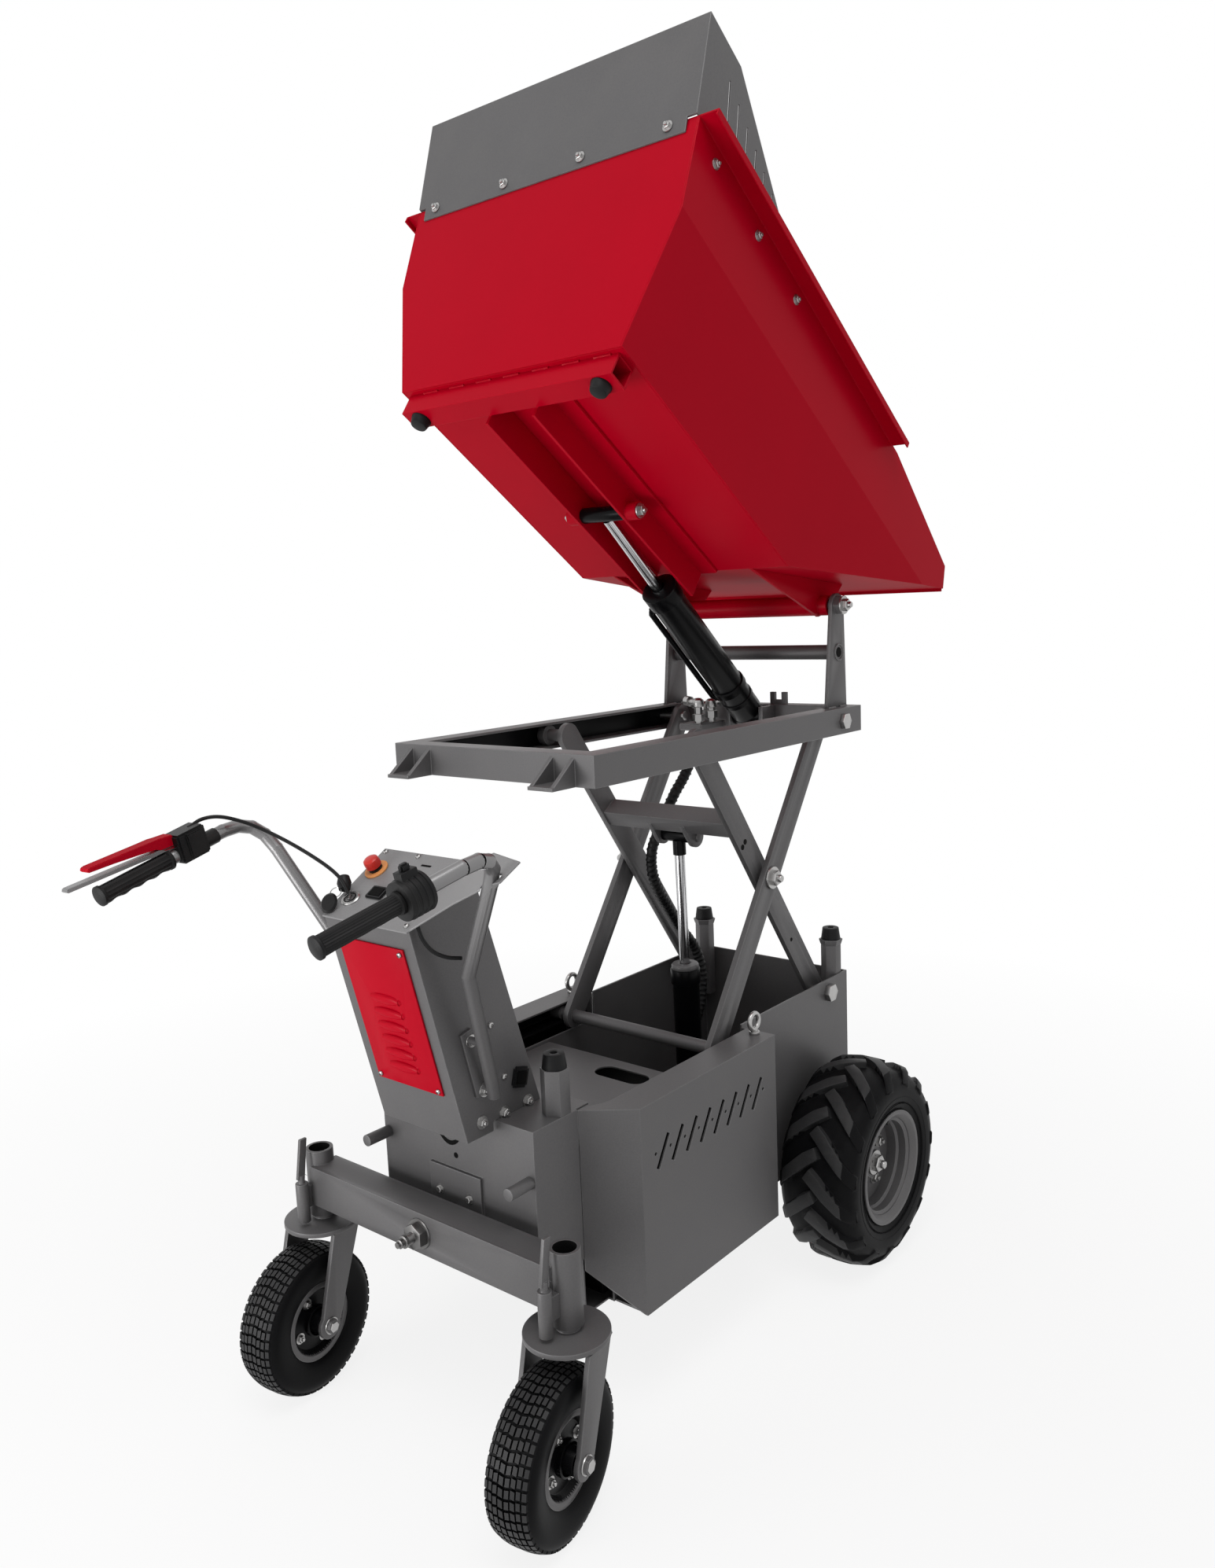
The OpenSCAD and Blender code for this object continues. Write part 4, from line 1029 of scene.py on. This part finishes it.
# %% Painted shade in the bores of the swivel tubes
SWIVEL_BORE = 0.0183
POSTS = [Vector(joints["caster_swivel_" + hand]["pos_m"]) for hand in HANDS]


def in_bore(poly):
    """Whether a face of the beam stands in one of its swivel tubes."""
    c = poly.center
    near = any(math.hypot(c.x - post.x, c.y - post.y) < SWIVEL_BORE for post in POSTS)
    return near and abs(poly.normal.z) < 0.5


# The bore walls are painted dark: painted shade inside the tubes.
repaint("axle_beam", "dark", in_bore)
print("bores painted dark")

# %% [markdown]
# ## Step 12: hydraulics and scissor hardware
# Three elbows on a small manifold carry oil from the hoses to the tip cylinder. The glands of
# both cylinders are turned collars, a bent pipe runs along the tip cylinder, and the pins of
# the scissor end in nuts. Bought fittings could be traced in detail, but turned shapes look the
# same at this size. The cross pin at each rod end is a black sleeve, so those faces of the
# chromed rods are painted.

# %% Fittings on the load frame
ELBOWS = ((-6, 72, 1082, 1129, (0.3, 1, 0.1)), (33, 66, 1086, 1125, (1, 0, 0.1)),
          (50, 95, 1078, 1117, (0.4, 1, 0.1)))
bm = bmesh.new()
for x, y, z0, z1, way in ELBOWS:
    foot, tall = aim(at(x, y, z0), UP), z1 - z0
    lathe(bm, foot, [(0, -6), (9, -6), (9, 4), (13, 4), (13, 18), (8.5, 19), (8.5, tall - 14),
                     (0, tall - 14)], HEX)
    lathe(bm, foot, [(0, tall - 14), (11, tall - 13), (12.5, tall - 6), (11.5, tall + 1),
                     (7, tall + 5), (0, tall + 6)], 18)
    arm = [(0, -8), (9, -8), (9, 8), (7, 9), (7, 26), (11, 27), (11, 40), (0, 41)]
    lathe(bm, aim(at(x, y, z1 - 6), way), arm, 12)
slab(bm, AXLE, (-22, 55, 1066), (68, 112, 1081), 2.0, 1)
slab(bm, AXLE, (59, 45, 1068), (68, 57, 1079), 1.0, 1)
piece("elbow_fittings", bm, "upper_frame", ["zinc", "steel_paint"])
bm = bmesh.new()
path = smooth_path([(68, 66, 1122), (80, 64, 1123), (89, 57, 1117), (92, 50, 1106)], 4.0)
tube(bm, path, 7.0, 12)
piece("fitting_pipe", bm, "upper_frame", ["rubber"])

# %% Collars of the tip cylinder
TIP_BASE, TIP_EYE = at(82, 0, 1091.9), at(-376, 0, 1498.6)
LIFT_BASE, LIFT_EYE = at(-171, 0, 222), at(-186.5, 0, 880)
tip_along, lift_along = (TIP_EYE - TIP_BASE).normalized(), (LIFT_EYE - LIFT_BASE).normalized()
bm = bmesh.new()
tip_axis = aim(TIP_BASE, tip_along)
home = tip_axis.inverted()
pipe_points = [home @ v.co for v in nodes["tip_pipe"].data.vertices]
pipe_turn = math.atan2(sum(p.y for p in pipe_points), sum(p.x for p in pipe_points))
line_frame = tip_axis @ spin(pipe_turn)
print("tip pipe stands at %.1f degrees round the ram" % math.degrees(pipe_turn))
lathe(bm, tip_axis, [(34, 404), (36.3, 406), (36.3, 409), (30, 412), (20, 413), (14, 413),
                     (12.6, 412)], 40)
lathe(bm, tip_axis @ spin(0.4), [(33, 60), (34.6, 61), (34.6, 70), (33, 71)], 40)
lathe(bm, tip_axis, [(33, 96), (36, 98), (36, 112), (33, 114)], 40)
for h in (80, 362):
    spot = line_frame @ shift(30, 0, h) @ spin(math.pi / 2, "Y")
    lathe(bm, spot, [(0, 0), (9, 0), (9, 8), (7, 9), (7, 14), (0, 14)], HEX)
piece("tip_gland", bm, "tip_barrel", ["black_paint"])

# %% Pipe of the tip cylinder
bm = bmesh.new()
PIPE = [(34, 80), (40, 81), (45, 87), (46, 100), (46, 220), (46, 342), (45, 355), (40, 361),
        (34, 362)]
route = [from_frame(line_frame @ mm(r, 0, h)) for r, h in PIPE]
tube(bm, smooth_path(route, 4.0), 6.0, 14)
tip_line = piece("tip_line", bm, "tip_barrel", ["black_paint"])
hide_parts("tip_pipe")

# %% Gland and neck of the lift cylinder
bm = bmesh.new()
lift_axis = aim(LIFT_BASE, lift_along)
lathe(bm, lift_axis, [(27, 381), (27.6, 382), (27.6, 388), (26, 391), (16, 392), (12, 392),
                      (10.6, 391)], 40)
piece("lift_gland", bm, "lift_barrel", ["steel_paint"])
bm = bmesh.new()
lift_len = (LIFT_EYE - LIFT_BASE).length / MM
neck = [(10.1, -42), (13, -41), (13, -12), (0, -12)]
lathe(bm, lift_axis, [(r, lift_len + h) for r, h in neck], 28)
piece("lift_neck", bm, "lift_rod", ["black_paint"])

# %% Rod eyes
for node, base, along, eye, sleeve in (("tip_rod", TIP_BASE, tip_along, TIP_EYE, 16),
                                       ("lift_rod", LIFT_BASE, lift_along, LIFT_EYE, 17)):
    end = (eye - base).length - sleeve * MM
    repaint(node, "black_paint", lambda poly: (poly.center - base).dot(along) > end)
    print("painted the eye of", node)

# %% Nuts of the scissor and painted shade in its holes
bm = bmesh.new()
for sign, n in SIDES:
    bolt(bm, aim(at(-131, sign * 180.5, 801), n, 0.2), 15)
piece("crossing_nuts", bm, "inner_scissor", ["zinc"])
# Dark discs on the arms: painted shade where holes go through.
bm = bmesh.new()
for sign, n in SIDES:
    for x, z, r in ((-199, 871, 5.5), (-190, 880, 5.5), (-30, 649, 4)):
        lathe(bm, aim(at(x, sign * 159.0, z), n), [(0, 0.4), (r, 0.4), (r, 0)], 16)
piece("arm_hole_shade", bm, "inner_scissor", ["dark"])

# %% Black inside the load frame's channels
WEB_IN, WEB_OUT = 0.215, 0.226


def inside_web(poly):
    """Whether a face of the load frame looks inward from a channel's web."""
    y = poly.center.y
    return abs(poly.normal.y) > 0.9 and poly.normal.y * y < 0 and WEB_IN < abs(y) < WEB_OUT


repaint("upper_frame", "black_paint", inside_web)
print("channel insides are black")

# %% [markdown]
# ## Step 13: skip hardware and weld beads
# The height extension is bolted through the skip's rear wall, and flange nuts run along the rim.
# Welds are where a maker's hand shows: each bead is a small tube whose thickness wavers along
# its length, which is simple and reads as a weld from any side.

# %% Skip bolts
HINGE_X, HINGE_Z = 96.7, 1316.9
HINGE = at(HINGE_X, 0, HINGE_Z)
TIP = Matrix.Translation(HINGE) @ spin(math.radians(35.2), "Y")


def on_skip(x, y, z):
    return TIP @ mm(x, y, z)


bm = bmesh.new()
back_n = TIP.to_3x3() @ Vector((-1, 0, -0.257)).normalized()
for y in (262, 92, -80, -256):
    bolt(bm, aim(on_skip(-910, y, 258), back_n, 0.3), 6.2)
for sign in (-1, 1):
    out = TIP.to_3x3() @ Vector((0, sign, 0))
    for x in (-841, -700, -560):
        bolt(bm, aim(on_skip(x, sign * 312, 236), out, 0.1), 6.0)
    bolt(bm, aim(on_skip(-491, sign * 80, -124), out, 0.2), 9.0)
piece("skip_bolts", bm, "skip", ["zinc"])

# %% Weld beads
random.seed(7)
FRAME_TOP = 1113
CROSS_X, CROSS_Z, CROSS_R, CROSS_END = 98, 1222.9, 16.5, 205


def bead(bm, a, b, r=2.6, step=3.0):
    """A bead between two points of the shared frame."""
    total = (b - a).length / MM
    count = max(3, int(total / step))
    pts = [from_frame(a.lerp(b, i / count)) for i in range(count + 1)]
    swell = [r * random.uniform(0.75, 1.15) for _ in pts]
    tube(bm, pts, lambda s, ang: swell[min(len(swell) - 1, round(s / total * count))], 8)


bm = bmesh.new()
for y in (-200, 200):
    for x0, x1 in ((52, 80), (98, 126)):
        for dy in (-5, 5):
            bead(bm, at(x0, y + dy, FRAME_TOP), at(x1, y + dy, FRAME_TOP))
for sign in (-1, 1):
    ring = [at(CROSS_X + CROSS_R * math.cos(a), sign * CROSS_END, CROSS_Z + CROSS_R * math.sin(a))
            for a in (math.tau * k / 10 for k in range(11))]
    for a, b in zip(ring, ring[1:]):
        bead(bm, a, b, 2.2, 4.0)
piece("upright_welds", bm, "upper_frame", ["steel_paint"])

# %% Hinge nuts and painted shade in the tube ends
bm = bmesh.new()
for sign, n in SIDES:
    bolt(bm, aim(at(HINGE_X, sign * 217, HINGE_Z), n, 0.4), 12.5)
    # A dark disc in each open tube end: painted shade.
    lathe(bm, aim(at(CROSS_X, sign * CROSS_END, CROSS_Z), n), [(0, 0.3), (10, 0.3)], 20, 1)
piece("hinge_nuts_and_tube_shade", bm, "upper_frame", ["zinc", "dark"])

# %% Welds under the skip
bm = bmesh.new()
for k in range(7):
    y0 = -220 + 64 * k
    bead(bm, on_skip(-806, y0, -86), on_skip(-806, y0 + 34, -86))
piece("skip_welds", bm, "skip", ["red_paint"])

# %% [markdown]
# ## Step 14: the studio
# The machine was photographed and cut out on white. A white floor lit hard enough to look white
# would also bleach the machine, so the floor and sky only look white to the camera and to
# reflections, while the light itself stays plain and soft. The floor keeps a faint shadow.

# %% Floor
SHADOW_R, WHITE_R, SHADOW_WHITE = 0.9, 2.6, 0.84


def seen(tree):
    """1 for rays that show the backdrop: from the camera, in reflections and through glass."""
    rays = add(tree, "LightPath").outputs
    first = calc(tree, "MAXIMUM", rays["Is Camera Ray"], rays["Is Glossy Ray"])
    return calc(tree, "MAXIMUM", first, rays["Is Transmission Ray"])


def mix_shaders(tree, amount, plain, shown, out):
    mixed = add(tree, "MixShader")
    for socket, source in zip(mixed.inputs, (amount, plain.outputs[0], shown.outputs[0])):
        tree.links.new(source, socket)
    tree.links.new(mixed.outputs[0], out.inputs[0])


bpy.ops.mesh.primitive_plane_add(size=40)
floor = bpy.context.object
floor.name = "studio_floor"
fmat, fshader = blank("studio_floor")
preset(fshader, ("Base Color", (0.92, 0.92, 0.92, 1)), ("Roughness", 0.9))
ftree = fmat.node_tree
away = add(ftree, "VectorMath")
away.operation = "LENGTH"
ftree.links.new(add(ftree, "TexCoord").outputs["Object"], away.inputs[0])
whiteness = map_range(ftree, away.outputs["Value"], SHADOW_R, WHITE_R, SHADOW_WHITE)
mix_shaders(ftree, calc(ftree, "MULTIPLY", seen(ftree), whiteness), fshader,
            add(ftree, "Emission"), ftree.nodes["Material Output"])
floor.data.materials.append(fmat)
print("floor is laid")

# %% Sky
SKY_LIGHT = 0.42
scene.world = bpy.data.worlds.new("studio")
scene.world.use_nodes = True
wtree = scene.world.node_tree
wtree.nodes.clear()
soft = add(wtree, "Background")
preset(soft, ("Strength", SKY_LIGHT))
white = add(wtree, "Background")
for node in (soft, white):
    preset(node, ("Color", (1, 1, 1, 1)))
mix_shaders(wtree, seen(wtree), soft, white, add(wtree, "OutputWorld"))
print("sky is set")

# %% Lamps
def lamp(name, place_at, target, size, watts):
    data = bpy.data.lights.new(name, "AREA")
    data.size = size
    data.energy = watts
    obj = bpy.data.objects.new(name, data)
    obj.matrix_world = aim(Vector(place_at), Vector(place_at) - Vector(target))
    scene.collection.objects.link(obj)


lamp("key_lamp", (-1.5, -1.4, 5.4), (0, 0, 1.0), 2.8, 95)
lamp("rear_lamp", (-2.6, 0.7, 0.4), (0, 0, 0.3), 1.4, 38)
scene.view_settings.view_transform = "Standard"
print("studio is lit")
